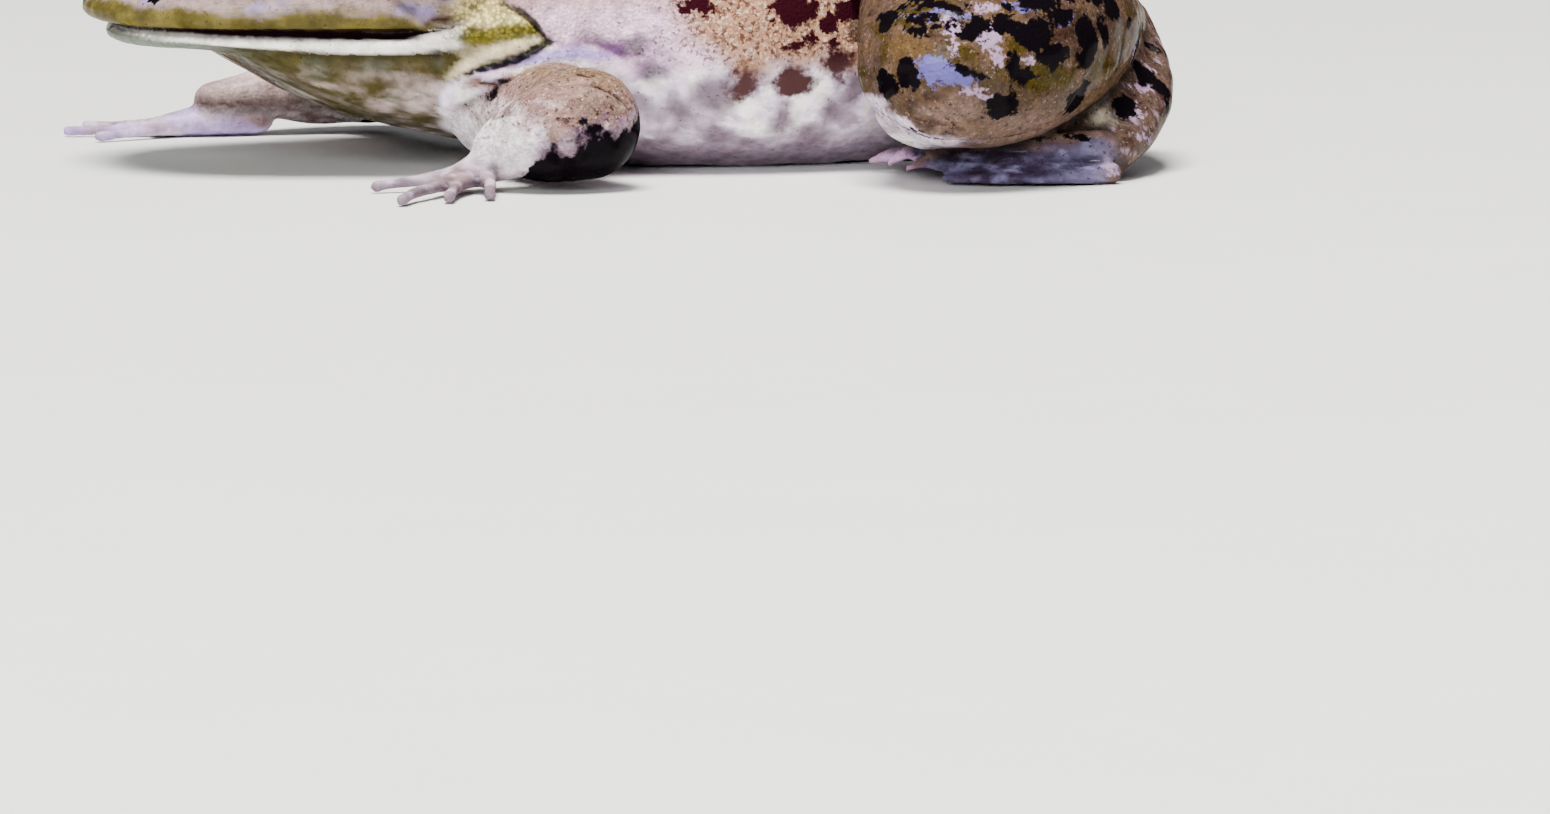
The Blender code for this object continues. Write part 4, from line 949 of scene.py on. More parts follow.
def scattered_domes(points, size, seed):
    """Round bumps from 0 to 1, one in each lattice cell, each with a random place and breadth."""
    places = points / size
    base = np.floor(places)
    height = np.zeros(len(points))
    for step in np.ndindex(3, 3, 3):
        cell = base + step - 1
        centre = cell + np.stack([scrambled(cell, seed + k) for k in range(3)], axis=1)
        breadth = 0.25 + 0.25 * scrambled(cell, seed + 3)
        near = 1 - ((places - centre)**2).sum(axis=1) / breadth**2
        height = np.maximum(height, np.maximum(near, 0) * breadth * 2)
    return height


def towards(colours, target, amount):
    """Each colour moved towards the target by its own share."""
    return colours + (np.asarray(target) - colours) * np.clip(amount, 0, 1)[:, None]


def inside_line(points, line, widths):
    """How deep each point lies inside a tube of the given widths along a line, in millimetres."""
    tube = Tube(line, widths)
    depth = np.zeros(len(points))
    near = ((points > tube.low) & (points < tube.high)).all(axis=1)
    depth[near] = np.maximum(-tube.distance(*points[near].T), 0)
    return depth


def patch(points, centre, radii):
    """Soft round patch: 1 at the middle, 0 from the given radii outwards."""
    away = np.sqrt((((points - centre) / radii)**2).sum(axis=1))
    return ramp(away, 1.0, 0.35)


def near_group(points, group):
    """Least distance from each point to the shapes of a group."""
    return np.minimum.reduce([shape.distance(*points.T) for shape, _ in group])


def ring(distance, at, breadth, height=1.0):
    """Bell curve round a distance: height * exp(-((distance - at) / breadth)^2)."""
    return height * np.exp(-((distance - at) / breadth)**2)


def shape_ears(skin, normals):
    """Draws the skin round each ear to the drum's plane: a raised rim, a groove, a plate and a boss."""
    for side in SIDES.values():
        centre, axes = mirrored(EAR_CENTRE, side), facing(mirrored(EAR_NORMAL, side))
        rise, across, up = ((skin.points - centre) @ axes.T).T
        r = np.hypot(across, up)
        plate, boss = ramp(r, 5.0, 2.2), ramp(r, 2.0, 0.4)
        profile = 0.9 + ring(r, *EAR_RIM) + ring(r, *EAR_GROOVE) - 0.5 * plate + 0.55 * boss
        hold = ramp(r, EAR_RADIUS + 2.2, EAR_RADIUS + 0.3) * (normals @ axes[0] > 0.2) * (abs(rise) < 6)
        skin.points += (hold * (profile - rise))[:, None] * axes[0]


def lid_relief(points, side):
    """Height of one eye's lids: a raised rim round the opening, and a groove outside it."""
    eye, axes = mirrored(EYE_CENTRE, side), facing(mirrored(EYE_LOOK, side))
    out, across, up = ((points - eye) @ axes.T).T
    rim = (np.hypot(across / LID_OPENING[0], up / LID_OPENING[1]) - 1) * LID_OPENING[1]
    on_lid = (out > 0) * (np.linalg.norm(points - eye, axis=1) < EYE_RADIUS + 4)
    return on_lid * (ring(rim, *LID_RIM) + ring(rim, *LID_GROOVE))


def unevenness(points, clouds):
    """Sum of smooth noises, each with a height, a size and a seed."""
    return sum(height * cloud(points, size, seed) for height, size, seed in clouds)


def relief(points, zones, settings):
    """How far each point moves along its normal: creases, folds, lids, nostrils, lips, warts, loose skin."""
    x, _, z = points.T
    move = np.zeros(len(points))
    for side in SIDES.values():
        for line, widths, depth in CREASES.values():
            hollow = inside_line(points, mirrored(line, side), np.array(widths) * CREASE_SPREAD)
            move -= CREASE_DEPTH * depth * hollow
        for line, widths, height in FOLDS.values():
            widest = max(widths)
            move += height * widest * ramp(inside_line(points, mirrored(line, side), widths), 0, widest)
        move += lid_relief(points, side)
        nostril = np.linalg.norm(points - mirrored(NOSTRIL, side), axis=1)
        move += ring(nostril, *NOSTRIL_RIM)
    in_front = (x < MOUTH_END) * zones["head"]
    move -= MOUTH_DEPTH * in_front * ramp(zones["mouth"], 0.9, -0.3)
    move += in_front * ring(z - along(LIP_EDGE, x)[0], *UNDER_LIP) * ramp(x, 6, 14)
    warty = np.clip(zones["back"] + zones["leg"] * ramp(z, 8, 16) + 0.5 * zones["crown"], 0, 1)
    move += settings.wart_height / MM * warty * scattered_domes(points, settings.wart_size / MM, 5)
    loose = 1 - np.clip(zones["head"] + zones["toes"] + zones["hand"] + zones["web"], 0, 1)
    move += loose * unevenness(points, LOOSE_SKIN)
    move += unevenness(points, ALL_SKIN) * (1 - zones["drum"])
    return move


def zones_of(points, shapes):
    """Soft membership, from 0 to 1, of every point in the regions, and how far it is from the mouth."""
    x, y, z = points.T
    groups = {"body": ("head", "jaw", "trunk"), "arm": ("arm",), "hand": ("hand",),
              "leg": ("thigh", "shank"), "tarsus": ("tarsus",), "toes": ("toes",), "web": ("web",)}
    closeness = {}
    for name, parts in groups.items():
        distance = np.minimum.reduce([near_group(points, shapes[part]) for part in parts])
        closeness[name] = np.exp(-np.maximum(distance + ZONE_INSET, 0) / ZONE_SOFTNESS)
    total = sum(closeness.values())
    zones = {name: value / total for name, value in closeness.items()}
    seam = along(HEAD_END, z)[0]
    seam = seam + (NECK_TOP - seam) * ramp(np.abs(y), 24, 14)
    zones["head"] = zones["body"] * ramp(x, seam + 0.7, seam - 0.4)
    zones["trunk"] = zones["body"] - zones["head"]
    line, half_gap = along(MOUTH_LINE, x)
    zones["below mouth"] = line - z
    zones["half gap"] = np.where((zones["head"] > 0.5) & (x < MOUTH_END), half_gap, NO_MOUTH)
    zones["mouth"] = np.abs(line - z) - zones["half gap"]
    zones["back"] = zones["trunk"] * ramp(z, 24, 36)
    zones["crown"] = zones["head"] * ramp(z, 27, 33)
    off_drum = [np.linalg.norm(points - mirrored(EAR_CENTRE, side), axis=1) for side in SIDES.values()]
    zones["drum"] = ramp(np.minimum(*off_drum), EAR_RADIUS + 0.4, EAR_RADIUS - 0.6)
    zones["limb"] = np.clip(zones["leg"] + zones["tarsus"] + zones["arm"] + zones["toes"], 0, 1)
    return zones


def mixed(fields, words):
    """A sum of fields given in words, such as z + 2.5 blobs, where a number is the weight of its field."""
    total = 0
    for part in words.split(" + "):
        first, _, rest = part.partition(" ")
        total = total + (float(first) * fields[rest] if first[0].isdigit() else fields[part])
    return total


def masked(fields, masks):
    """Product of masks, each a field, or a sum of fields eased between two values by a smoothstep."""
    product = np.ones_like(fields["z"])
    for mask in masks:
        if isinstance(mask, str):
            product = product * fields[mask]
        else:
            words, start, end, *ends = mask
            low, high = ends or (0, 1)
            product = product * (low + (high - low) * ramp(mixed(fields, words), start, end))
    return product


def painted(layers, fields, colours, ground):
    """The ground under layers of paint, each of which hides it as far as its strength and masks say."""
    for name, brightness, strength, *masks in layers:
        ground = towards(ground, colours[name] * brightness, strength * masked(fields, masks))
    return ground


def colours_of(settings):
    """Every colour of the skin by name: the settings' and the small touches."""
    values = {name: np.array(getattr(settings, name)) for name in FrogSkinSettings.__annotations__}
    colours = {name: value for name, value in values.items() if value.ndim}
    return colours | {name: np.array(value) for name, value in TOUCHES.items()}


def paint_fields(points, moved, zones):
    """What the masks of the paint go by, mostly read at the moved points, so that borders wander."""
    x, y, z = moved.T
    exact_x, _, exact_z = points.T
    fields = zones | {"x": x, "z": z, "left": y < 0, "right": y > 0}
    for name, (stretch, size, seed) in CLOUDS.items():
        fields[name] = cloud(moved * stretch, size, seed)
    fields["over lip edge"] = exact_z - along(LIP_EDGE, exact_x)[0]
    fields["under lip edge"] = ring(fields["over lip edge"], -0.7, 0.5)
    fields["over lip band"] = z - along(LIP_BAND, exact_x)[0]
    fields["over leg edge"] = z - along(LEG_EDGE, x)[0]
    fields["over shade"] = z - along(ARM_SHADE, x)[0]
    fields["shaded arm"] = (y < 0) | (x > ARM_SHADE_START)
    fields["right forearm"] = (y > 0) * ramp(x, 53, 47)
    fields["webbed"] = (zones["web"] + zones["toes"]) * ramp(z, 7.0, 5.5) * ramp(x, 110, 113)
    return fields


def paint(points, zones, colours):
    """Ground colour of every point: each region's layers, then patches, lines and mottles, then the web's
    painted glints and the painted shadow in its folds.
    """
    moved = points
    for wander in PAINT_WANDER:
        moved = warped(moved, *wander)
    less_moved = points + LINE_WANDER * (moved - points)
    fields = paint_fields(points, moved, zones)
    bare = np.zeros((len(points), 3))
    coats = {name: painted(layers, fields, colours, bare) for name, layers in LAYERS.items()}
    head = towards(coats["snout"], coats["lip"], ramp(fields["over lip band"], 0.5, -0.5))
    head = towards(head, coats["jaw"], ramp(zones["below mouth"], -0.1, 0.1))
    coats["head"] = painted(MOUTH_AND_EAR, fields, colours, head)
    regions = ("trunk", "head", "leg", "arm", "hand", "tarsus", "toes", "web")
    ground = sum(coats[name] * zones[name][:, None] for name in regions)
    for side in SIDES.values():
        for name, centre, radii, strength in PATCHES:
            ground = towards(ground, colours[name], strength * patch(moved, mirrored(centre, side), radii))
        for name, line, widths in LINES:
            inside = inside_line(less_moved, mirrored(line, side), np.array(widths) + LINE_EDGE)
            ground = towards(ground, colours[name], ramp(inside, 0.0, 1.0))
        for x, y, z, wide, high in MOTTLES:
            radii = (wide * MOTTLE_SPREAD, MOTTLE_DEPTH, high * MOTTLE_SPREAD)
            mottle = patch(moved, mirrored((x, y, z), side), radii)
            ground = towards(ground, colours["mottle"] * 0.6, np.sqrt(mottle) * zones["trunk"])
    painted_glint = 0.6 * masked(fields, ("webbed", ("drawn + 0.4 fine", 0.1, 0.6)))
    ground = towards(ground, ground * WEB_PAINTED_GLINT, painted_glint)
    return np.clip(painted(WEB_FOLDS, fields, colours, ground), 0, 1)


def finish_of(points, zones):
    """Speckle, wrinkles, pebbles, grain and blur of the spots: each the sum of its rows in the table."""
    x, _, z = points.T
    fields = zones | {"x": x, "z": z, "off limb": 1 - zones["limb"],
                      "head": zones["head"] * (1 - zones["drum"])}
    finish = {name: sum(strength * masked(fields, masks) for strength, *masks in rows)
              for name, rows in FINISH.items()}
    below_mouth = (zones["below mouth"] > 0) * (x < MOUTH_END)
    finish["wrinkled"] *= ramp(zones["mouth"], 0.0, 1.5) * (1 - 0.6 * below_mouth)
    return finish


def scattered(points, allowed, spacing, radii, seed):
    """Spots on allowed points at least a spacing apart, with random radii, in a seeded random order."""
    rng = np.random.default_rng(seed)
    left = rng.permutation(points[allowed])
    spots = []
    while len(left):
        centre = left[0]
        spots.append((*centre, rng.uniform(*radii), rng.uniform(*radii)))
        left = left[np.linalg.norm(left - centre, axis=1) > spacing * rng.uniform(0.7, 1.4)]
    return spots


def edge_distance(points, spots, lines=()):
    """Signed distance in millimetres to the edge of the nearest spot or line, negative inside it."""
    edge = np.full(len(points), EDGE_REACH)
    for line, widths in lines:
        tube = Tube(line, widths)
        near = ((points > tube.low - 3) & (points < tube.high + 3)).all(axis=1)
        edge[near] = np.minimum(edge[near], tube.distance(*points[near].T))
    for x, y, z, wide, high in spots:
        near = np.abs(points - (x, y, z)).max(axis=1) < EDGE_REACH + 2 * max(wide, high)
        dx, dy, dz = (points[near] - (x, y, z)).T
        ratio = np.sqrt((dx**2 + dy**2) / wide**2 + (dz / high)**2)
        edge[near] = np.minimum(edge[near], (ratio - 1) * min(wide, high))
    return edge


def spots_of(points, zones):
    """The dark spots: those listed, their copies on the right with small changes, and scattered ones."""
    rng = np.random.default_rng(7)
    spots = [(x, -y, z, wide * SPREAD, high * SPREAD) for x, y, z, wide, high in LEG_BLOTCHES + FLANK_SPOTS]
    spots += [(x, -y, z, wide, high) for x, y, z, wide, high in BODY_SPOTS]
    spots += [(x + rng.uniform(-1.5, 1.5), y, z + rng.uniform(-1, 1), wide * SPREAD * rng.uniform(0.8, 1.2),
               high * SPREAD * rng.uniform(0.8, 1.2)) for x, y, z, wide, high in LEG_BLOTCHES + FLANK_SPOTS]
    x, y, z = points.T
    allowed = {
        "back": (zones["trunk"] > 0.6) & (z > 27.5) & (x > 66),
        "upper leg": (zones["leg"] + zones["tarsus"] > 0.6) & (z > 28.5) & ((z > 30) | (y > 0)),
        "crown": (zones["head"] > 0.9) & (z > 34) & (np.abs(y) < 30)}
    for name, where in allowed.items():
        more = scattered(points, where, *SCATTERED[name])
        spots += [(*place, wide, max(high, 1.5)) for *place, wide, high in more]
    return spots


def markings(points, zones):
    """Signed distances to the dark spots, the lilac painted reflections and the pink painted highlights, and
    the creases' painted shadow lines.
    """
    moved = warped(points, *SPOT_WANDER)
    streaks = [(mirrored(line, side), widths) for side in SIDES.values() for line, widths in STREAKS]
    spot = edge_distance(moved, spots_of(points, zones), streaks)
    x, y, z = points.T
    # the arm's black underside joins the spots: partly dark skin, partly painted shade
    wander = 1.5 * cloud(points, 3.0, 62) + 1.2 * cloud(points, 1.3, 63)
    shade = z - along(ARM_SHADE, x)[0] + wander + 4 * ramp(x, 53, 50.5)
    shaded_arm = (zones["arm"] > 0.5) & ((y < 0) | (x > ARM_SHADE_START))
    spot = np.where(shaded_arm, np.minimum(spot, shade), spot)
    lilac, pink = ([(x, y * side, z, wide, high) for side in SIDES.values() for x, y, z, wide, high in table]
                   for table in (PAINTED_LILAC_REFLECTIONS, PAINTED_PINK_HIGHLIGHTS))
    lilac, pink = edge_distance(moved, lilac), edge_distance(moved, pink)
    # the creases' dark lines, which are painted shade
    creases = [(mirrored(line, side), np.array(widths) * CREASE_PAINT) for side in SIDES.values()
               for line, widths, _ in CREASES.values()]
    return spot, lilac, pink, edge_distance(points, (), creases)


def feed(tree, node, inputs):
    """Gives a node its inputs, each a value, or a socket that is linked to it."""
    for name, value in inputs.items():
        if isinstance(value, bpy.types.NodeSocket):
            tree.links.new(value, node.inputs[name])
        else:
            node.inputs[name].default_value = value


def add_node(tree, kind, place, inputs, **settings):
    """Adds a node with its settings and its inputs."""
    made = tree.nodes.new(kind)
    made.location = (place[0] * 200, place[1] * -180)
    for name, value in settings.items():
        setattr(made, name, value)
    feed(tree, made, inputs)
    return made


def arithmetic(tree, place, operation, first, second=0.0, third=0.0):
    """Output of a Math node."""
    inputs = {0: first, 1: second, 2: third}
    return add_node(tree, "ShaderNodeMath", place, inputs, operation=operation).outputs[0]


def vector_math(tree, place, operation, inputs, output="Vector"):
    """Output of a Vector Math node."""
    return add_node(tree, "ShaderNodeVectorMath", place, inputs, operation=operation).outputs[output]


def blended(tree, place, factor, first, second):
    """Output of a colour Mix node."""
    inputs = {"Factor": factor, 6: first, 7: second}
    return add_node(tree, "ShaderNodeMix", place, inputs, data_type="RGBA").outputs[2]


def attribute(tree, place, name, output="Fac"):
    """Output of an Attribute node, which reads a value painted on the mesh."""
    return add_node(tree, "ShaderNodeAttribute", place, {}, attribute_name=name).outputs[output]


def eased(tree, place, value, low, high, to_low=0.0, to_high=1.0):
    """Output of a smooth Map Range node."""
    inputs = {"Value": value, "From Min": low, "From Max": high, "To Min": to_low, "To Max": to_high}
    return add_node(tree, "ShaderNodeMapRange", place, inputs, interpolation_type="SMOOTHSTEP").outputs[0]


def noise(tree, place, vector, scale, detail, roughness=0.5, distortion=0.0):
    """Output of a Noise Texture node."""
    inputs = {"Vector": vector, "Scale": scale, "Detail": detail, "Roughness": roughness,
              "Distortion": distortion}
    return add_node(tree, "ShaderNodeTexNoise", place, inputs).outputs["Fac"]


def grouped(tree, place, group, **inputs):
    """Output of a node group."""
    return add_node(tree, "ShaderNodeGroup", place, inputs, node_tree=group).outputs[0]


def new_group(name, inputs, output):
    """An empty node group: its tree, its input sockets' values, and the value that it gives.

    Inputs are named with their defaults, None for a vector.
    """
    tree = bpy.data.node_groups.new(name, "ShaderNodeTree")
    for socket, default in inputs.items():
        kind = "NodeSocketVector" if default is None else "NodeSocketFloat"
        made = tree.interface.new_socket(socket, in_out="INPUT", socket_type=kind)
        if default is not None:
            made.default_value = default
    tree.interface.new_socket(output, in_out="OUTPUT", socket_type="NodeSocketFloat")
    given, result = tree.nodes.new("NodeGroupInput"), tree.nodes.new("NodeGroupOutput")
    return tree, given.outputs, result.inputs[output]


def flecks_group():
    """Small flecks: smooth noise above a threshold that falls as the amount rises."""
    inputs = {"Vector": None, "Size": 0.5, "Amount": 0.3, "Softness": 0.08}
    tree, given, mask = new_group("Flecks", inputs, "Mask")
    scale = arithmetic(tree, (1, 0), "DIVIDE", 1.0, given["Size"])
    cloudy = noise(tree, (2, 0), given["Vector"], scale, 3.0, 0.6)
    threshold = arithmetic(tree, (2, 1), "MULTIPLY_ADD", given["Amount"], -0.17, 0.69)
    above = arithmetic(tree, (3, 0), "SUBTRACT", cloudy, threshold)
    share_above = arithmetic(tree, (4, 0), "DIVIDE", above, given["Softness"])
    tree.links.new(eased(tree, (5, 0), share_above, -1.0, 1.0), mask)
    return tree


def ragged_group():
    """Ragged edge: the signed distance to an edge, pushed about by noise, made into a mask."""
    inputs = {"Distance": 0.0, "Vector": None, "Size": 1.0, "Raggedness": 0.5, "Softness": 0.15}
    tree, given, mask = new_group("Ragged edge", inputs, "Mask")
    scale = arithmetic(tree, (1, 0), "DIVIDE", 1.0, given["Size"])
    cloudy = noise(tree, (2, 0), given["Vector"], scale, 3.0, 0.62)
    centred = arithmetic(tree, (3, 0), "MULTIPLY_ADD", cloudy, 4.0, -2.0)
    push = arithmetic(tree, (4, 0), "MULTIPLY", centred, given["Raggedness"])
    moved = arithmetic(tree, (5, 0), "ADD", given["Distance"], push)
    within = arithmetic(tree, (6, 0), "DIVIDE", moved, given["Softness"])
    tree.links.new(eased(tree, (7, 0), within, 1.0, -1.0), mask)
    return tree


def granules_group():
    """Fine round granules: how near each place is to the middle of its Voronoi cell."""
    tree, given, height = new_group("Granules", {"Vector": None, "Size": 0.5}, "Height")
    scale = arithmetic(tree, (1, 0), "DIVIDE", 1.0, given["Size"])
    inputs = {"Vector": given["Vector"], "Scale": scale, "Smoothness": 0.35, "Randomness": 0.9}
    cells = add_node(tree, "ShaderNodeTexVoronoi", (2, 0), inputs, feature="SMOOTH_F1")
    tree.links.new(eased(tree, (3, 0), cells.outputs["Distance"], 0.75, 0.1), height)
    return tree


def wrinkles_group():
    """Thin branching lines where smooth noise, stretched along the body, crosses its middle value."""
    tree, given, mask = new_group("Wrinkle lines", {"Vector": None, "Size": 2.0, "Width": 0.03}, "Mask")
    scale = arithmetic(tree, (1, 0), "DIVIDE", 1.0, given["Size"])
    stretched = vector_math(tree, (1, 1), "MULTIPLY", {0: given["Vector"], 1: (0.5, 1.0, 1.3)})
    cloudy = noise(tree, (2, 0), stretched, scale, 4.0, 0.55, 0.8)
    centred = arithmetic(tree, (3, 0), "SUBTRACT", cloudy, 0.5)
    away = arithmetic(tree, (4, 0), "ABSOLUTE", centred)
    share_away = arithmetic(tree, (5, 0), "DIVIDE", away, given["Width"])
    tree.links.new(eased(tree, (6, 0), share_away, 1.0, 0.0), mask)
    return tree


def new_material(name):
    """An empty material: itself, its node tree and its shader."""
    material = bpy.data.materials.new(name)
    material.use_nodes = True
    shader = material.node_tree.nodes["Principled BSDF"]
    shader.location = (2600, 0)
    return material, material.node_tree, shader


def toned(tree, vector, folded, granules):
    """The painted ground, made uneven by noise and pebbles, and darker along the wrinkle lines: partly their
    own dark colour, partly painted shade in their grooves.
    """
    tone = noise(tree, (2, 1), vector, 0.55, 6.0, 0.62)
    level = eased(tree, (3, 1), tone, 0.25, 0.75, 0.72, 1.28)
    pebbles = grouped(tree, (2, 11), granules, Vector=vector, Size=0.62)
    pebble_tone = eased(tree, (3, 11), pebbles, 0.1, 0.8, -0.45, 0.2)
    pebbled = attribute(tree, (1, 11), "pebbled")
    level = arithmetic(tree, (4, 11), "MULTIPLY_ADD", pebble_tone, pebbled, level)
    # darker along the wrinkle lines: partly their own colour, partly painted shade in their grooves
    level = arithmetic(tree, (4, 10), "MULTIPLY", level, eased(tree, (4, 9), folded, 0.0, 1.0, 1.0, 0.35))
    return vector_math(tree, (5, 1), "SCALE", {0: attribute(tree, (1, 2), "ground", "Color"), "Scale": level})


def flecked(tree, vector, ground):
    """The ground with dark flecks, and with pale ones between them."""
    flecks, speckle = flecks_group(), attribute(tree, (1, 3), "speckle")
    dark = grouped(tree, (4, 2), flecks, Vector=vector, Size=0.75, Amount=speckle, Softness=0.05)
    browned = vector_math(tree, (5, 2), "MULTIPLY", {0: ground, 1: (0.34, 0.27, 0.30)})
    colour = blended(tree, (6, 1), dark, ground, browned)
    shifted = vector_math(tree, (3, 3), "ADD", {0: vector, 1: (37.0, 11.0, 5.0)})
    fewer = arithmetic(tree, (3, 4), "MULTIPLY", speckle, 0.7)
    pale = grouped(tree, (4, 3), flecks, Vector=shifted, Size=0.6, Amount=fewer, Softness=0.05)
    light = blended(tree, (6, 2), 0.55, ground, (0.80, 0.66, 0.60, 1.0))
    paleness = arithmetic(tree, (6, 3), "MULTIPLY", pale, eased(tree, (5, 4), speckle, 0.1, 0.8, 0.1, 0.8))
    return blended(tree, (7, 1), paleness, colour, light)


def marked(tree, vector, colour):
    """The colour with painted reflections and highlights, dark spots, painted shade in the creases and in the
    mouth's gap, and the masks of spots and mouth.
    """
    ragged = ragged_group()

    def mask(place, distance, size, raggedness, softness):
        return grouped(tree, place, ragged, Distance=distance, Vector=vector, Size=size,
                       Raggedness=raggedness, Softness=softness)

    # painted reflections and highlights of the wet skin, in lilac and pink
    sheen = mask((7, 3), attribute(tree, (1, 13), "sheen"), 0.8, 1.0, 0.3)
    colour = blended(tree, (8, 2), sheen, colour, attribute(tree, (1, 14), "sheen colour", "Color"))
    spots = mask((7, 4), attribute(tree, (1, 5), "spot"), 1.3, 0.8, attribute(tree, (1, 7), "spot blur"))
    colour = blended(tree, (8, 1), spots, colour, attribute(tree, (1, 6), "spot colour", "Color"))
    # painted shade: darker in hollows and along the creases' lines
    hollow = eased(tree, (8, 3), attribute(tree, (1, 8), "crease"), 0.0, 1.0, 1.0, 0.25)
    fold = mask((8, 5), attribute(tree, (1, 15), "crease shadow line"), 1.0, 0.15, 0.25)
    hollow = arithmetic(tree, (9, 3), "MULTIPLY", hollow, eased(tree, (9, 5), fold, 0.0, 1.0, 1.0, 0.15))
    colour = vector_math(tree, (9, 1), "SCALE", {0: colour, "Scale": hollow})
    # the mouth's gap is painted near black: painted shade
    off_line = arithmetic(tree, (2, 9), "ABSOLUTE", attribute(tree, (1, 9), "below mouth"))
    off_mouth = arithmetic(tree, (3, 9), "SUBTRACT", off_line, attribute(tree, (1, 12), "half gap"))
    mouth = mask((9, 4), off_mouth, 1.2, 0.06, 0.16)
    return blended(tree, (10, 1), mouth, colour, (0.004, 0.001, 0.002, 1.0)), spots, mouth


def fine_relief(tree, vector, folded, granules, settings):
    """Normal of the finest relief: granules, soft wrinkles and wrinkle lines."""
    bumps = grouped(tree, (4, 6), granules, Vector=vector, Size=settings.granule_size / MM)
    wrinkles = noise(tree, (4, 7), vector, 0.9, 3.0, 0.5, 0.6)
    height = arithmetic(tree, (5, 6), "MULTIPLY", bumps, attribute(tree, (1, 4), "grain"))
    height = arithmetic(tree, (6, 6), "MULTIPLY_ADD", wrinkles, 1.2, height)
    height = arithmetic(tree, (7, 6), "MULTIPLY_ADD", folded, -0.8, height)
    inputs = {"Height": height, "Strength": 0.7, "Distance": settings.granule_height}
    return add_node(tree, "ShaderNodeBump", (11, 5), inputs).outputs["Normal"]


def water_film(tree, vector, spots, mouth, wetness):
    """Roughness and coat of a film of water in large patches, thinner on spots and none in the mouth."""
    film = noise(tree, (7, 7), vector, 0.16, 3.0)
    wet = eased(tree, (8, 7), film, 0.60 - 0.3 * wetness, 0.72 - 0.3 * wetness)
    roughness = eased(tree, (9, 7), wet, 0.0, 1.0, 0.48, 0.26)
    shine = arithmetic(tree, (9, 9), "MULTIPLY_ADD", spots, -0.13, 0.25)
    off_mouth = arithmetic(tree, (10, 9), "MULTIPLY_ADD", mouth, -1.0, 1.0)
    shine = arithmetic(tree, (11, 9), "MULTIPLY", shine, off_mouth)
    return roughness, arithmetic(tree, (11, 8), "MULTIPLY", wet, shine)


def skin_material(settings, offset):
    """Wet skin: painted ground with flecks and ragged spots, granules and wrinkles, under a film of water."""
    material, tree, shader = new_material("Wet frog skin")
    places = add_node(tree, "ShaderNodeTexCoord", (0, 0), {})
    inputs = {"Vector": places.outputs["Object"], "Location": offset, "Scale": (1 / MM,) * 3}
    vector = add_node(tree, "ShaderNodeMapping", (1, 0), inputs).outputs["Vector"]
    granules = granules_group()
    wrinkle_lines = grouped(tree, (2, 10), wrinkles_group(), Vector=vector)
    folded = arithmetic(tree, (3, 10), "MULTIPLY", wrinkle_lines, attribute(tree, (1, 10), "wrinkled"))
    ground = toned(tree, vector, folded, granules)
    colour, spots, mouth = marked(tree, vector, flecked(tree, vector, ground))
    roughness, coat = water_film(tree, vector, spots, mouth, settings.wetness)
    normal = fine_relief(tree, vector, folded, granules, settings)
    feed(tree, shader, {
        "Base Color": colour, "Roughness": roughness, "Coat Weight": coat, "Normal": normal,
        "Coat Roughness": 0.08, "Coat IOR": 1.3, "IOR": 1.36, "Specular IOR Level": 0.0, "Metallic": 0.0,
        "Subsurface Weight": 0.12, "Subsurface Scale": 0.001, "Subsurface Radius": (1.0, 0.5, 0.35)})
    return material


def new_piece(name, points, faces, material):
    """A smooth-shaded mesh object at the origin, with its points in metres."""
    mesh = bpy.data.meshes.new(name)
    mesh.from_pydata(points, [], faces.tolist() if isinstance(faces, np.ndarray) else faces)
    mesh.validate()
    mesh.shade_smooth()
    mesh.materials.append(material)
    piece = bpy.data.objects.new(name, mesh)
    bpy.context.scene.collection.objects.link(piece)
    return piece


def store(mesh, name, values):
    """Puts a number or a colour on every point of a mesh, as an attribute."""
    if values.ndim == 1:
        mesh.attributes.new(name, "FLOAT", "POINT").data.foreach_set("value", values.astype(np.float32))
    else:
        full = np.column_stack((values, np.ones(len(values)))).astype(np.float32)
        mesh.attributes.new(name, "FLOAT_COLOR", "POINT").data.foreach_set("color", full.ravel())


def body_shift():
    """Row-frame place, in metres, of the body frame's origin: the left eye's middle fixes it."""
    low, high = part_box("eye_left")
    return (np.array(low) + np.array(high)) / 2 - mirrored(EYE_CENTRE, LEFT) * MM


def hollows(skin):
    """How far each point lies below its neighbours along its normal, evened out."""
    depth = ((skin.average(skin.points) - skin.points) * skin.normals()).sum(axis=1)
    for _ in range(3):
        depth = 0.5 * depth + 0.5 * skin.average(depth)
    return depth


def skin_values(points, zones, settings):
    """Everything that is painted on the skin's points, by the name under which the material reads it."""
    colours = colours_of(settings)
    spot, lilac, pink, crease_shadow_line = markings(points, zones)
    fields = {"z": points[:, 2], "limb or head": np.maximum(zones["limb"], zones["head"])}
    spot_colour = painted(SPOTS, fields, colours, np.zeros((len(points), 3)))
    # the sheen is painted: lilac reflections of the sky and pink highlights
    sheen_colour = np.where((lilac < pink)[:, None], colours["lilac_painted_reflection"], colours["pink_painted_highlight"])
    values = {"ground": paint(points, zones, colours), "spot": spot, "spot colour": spot_colour,
              "sheen": np.minimum(lilac, pink), "sheen colour": sheen_colour, "crease shadow line": crease_shadow_line,
              "below mouth": zones["below mouth"], "half gap": zones["half gap"]}
    return values | finish_of(points, zones)


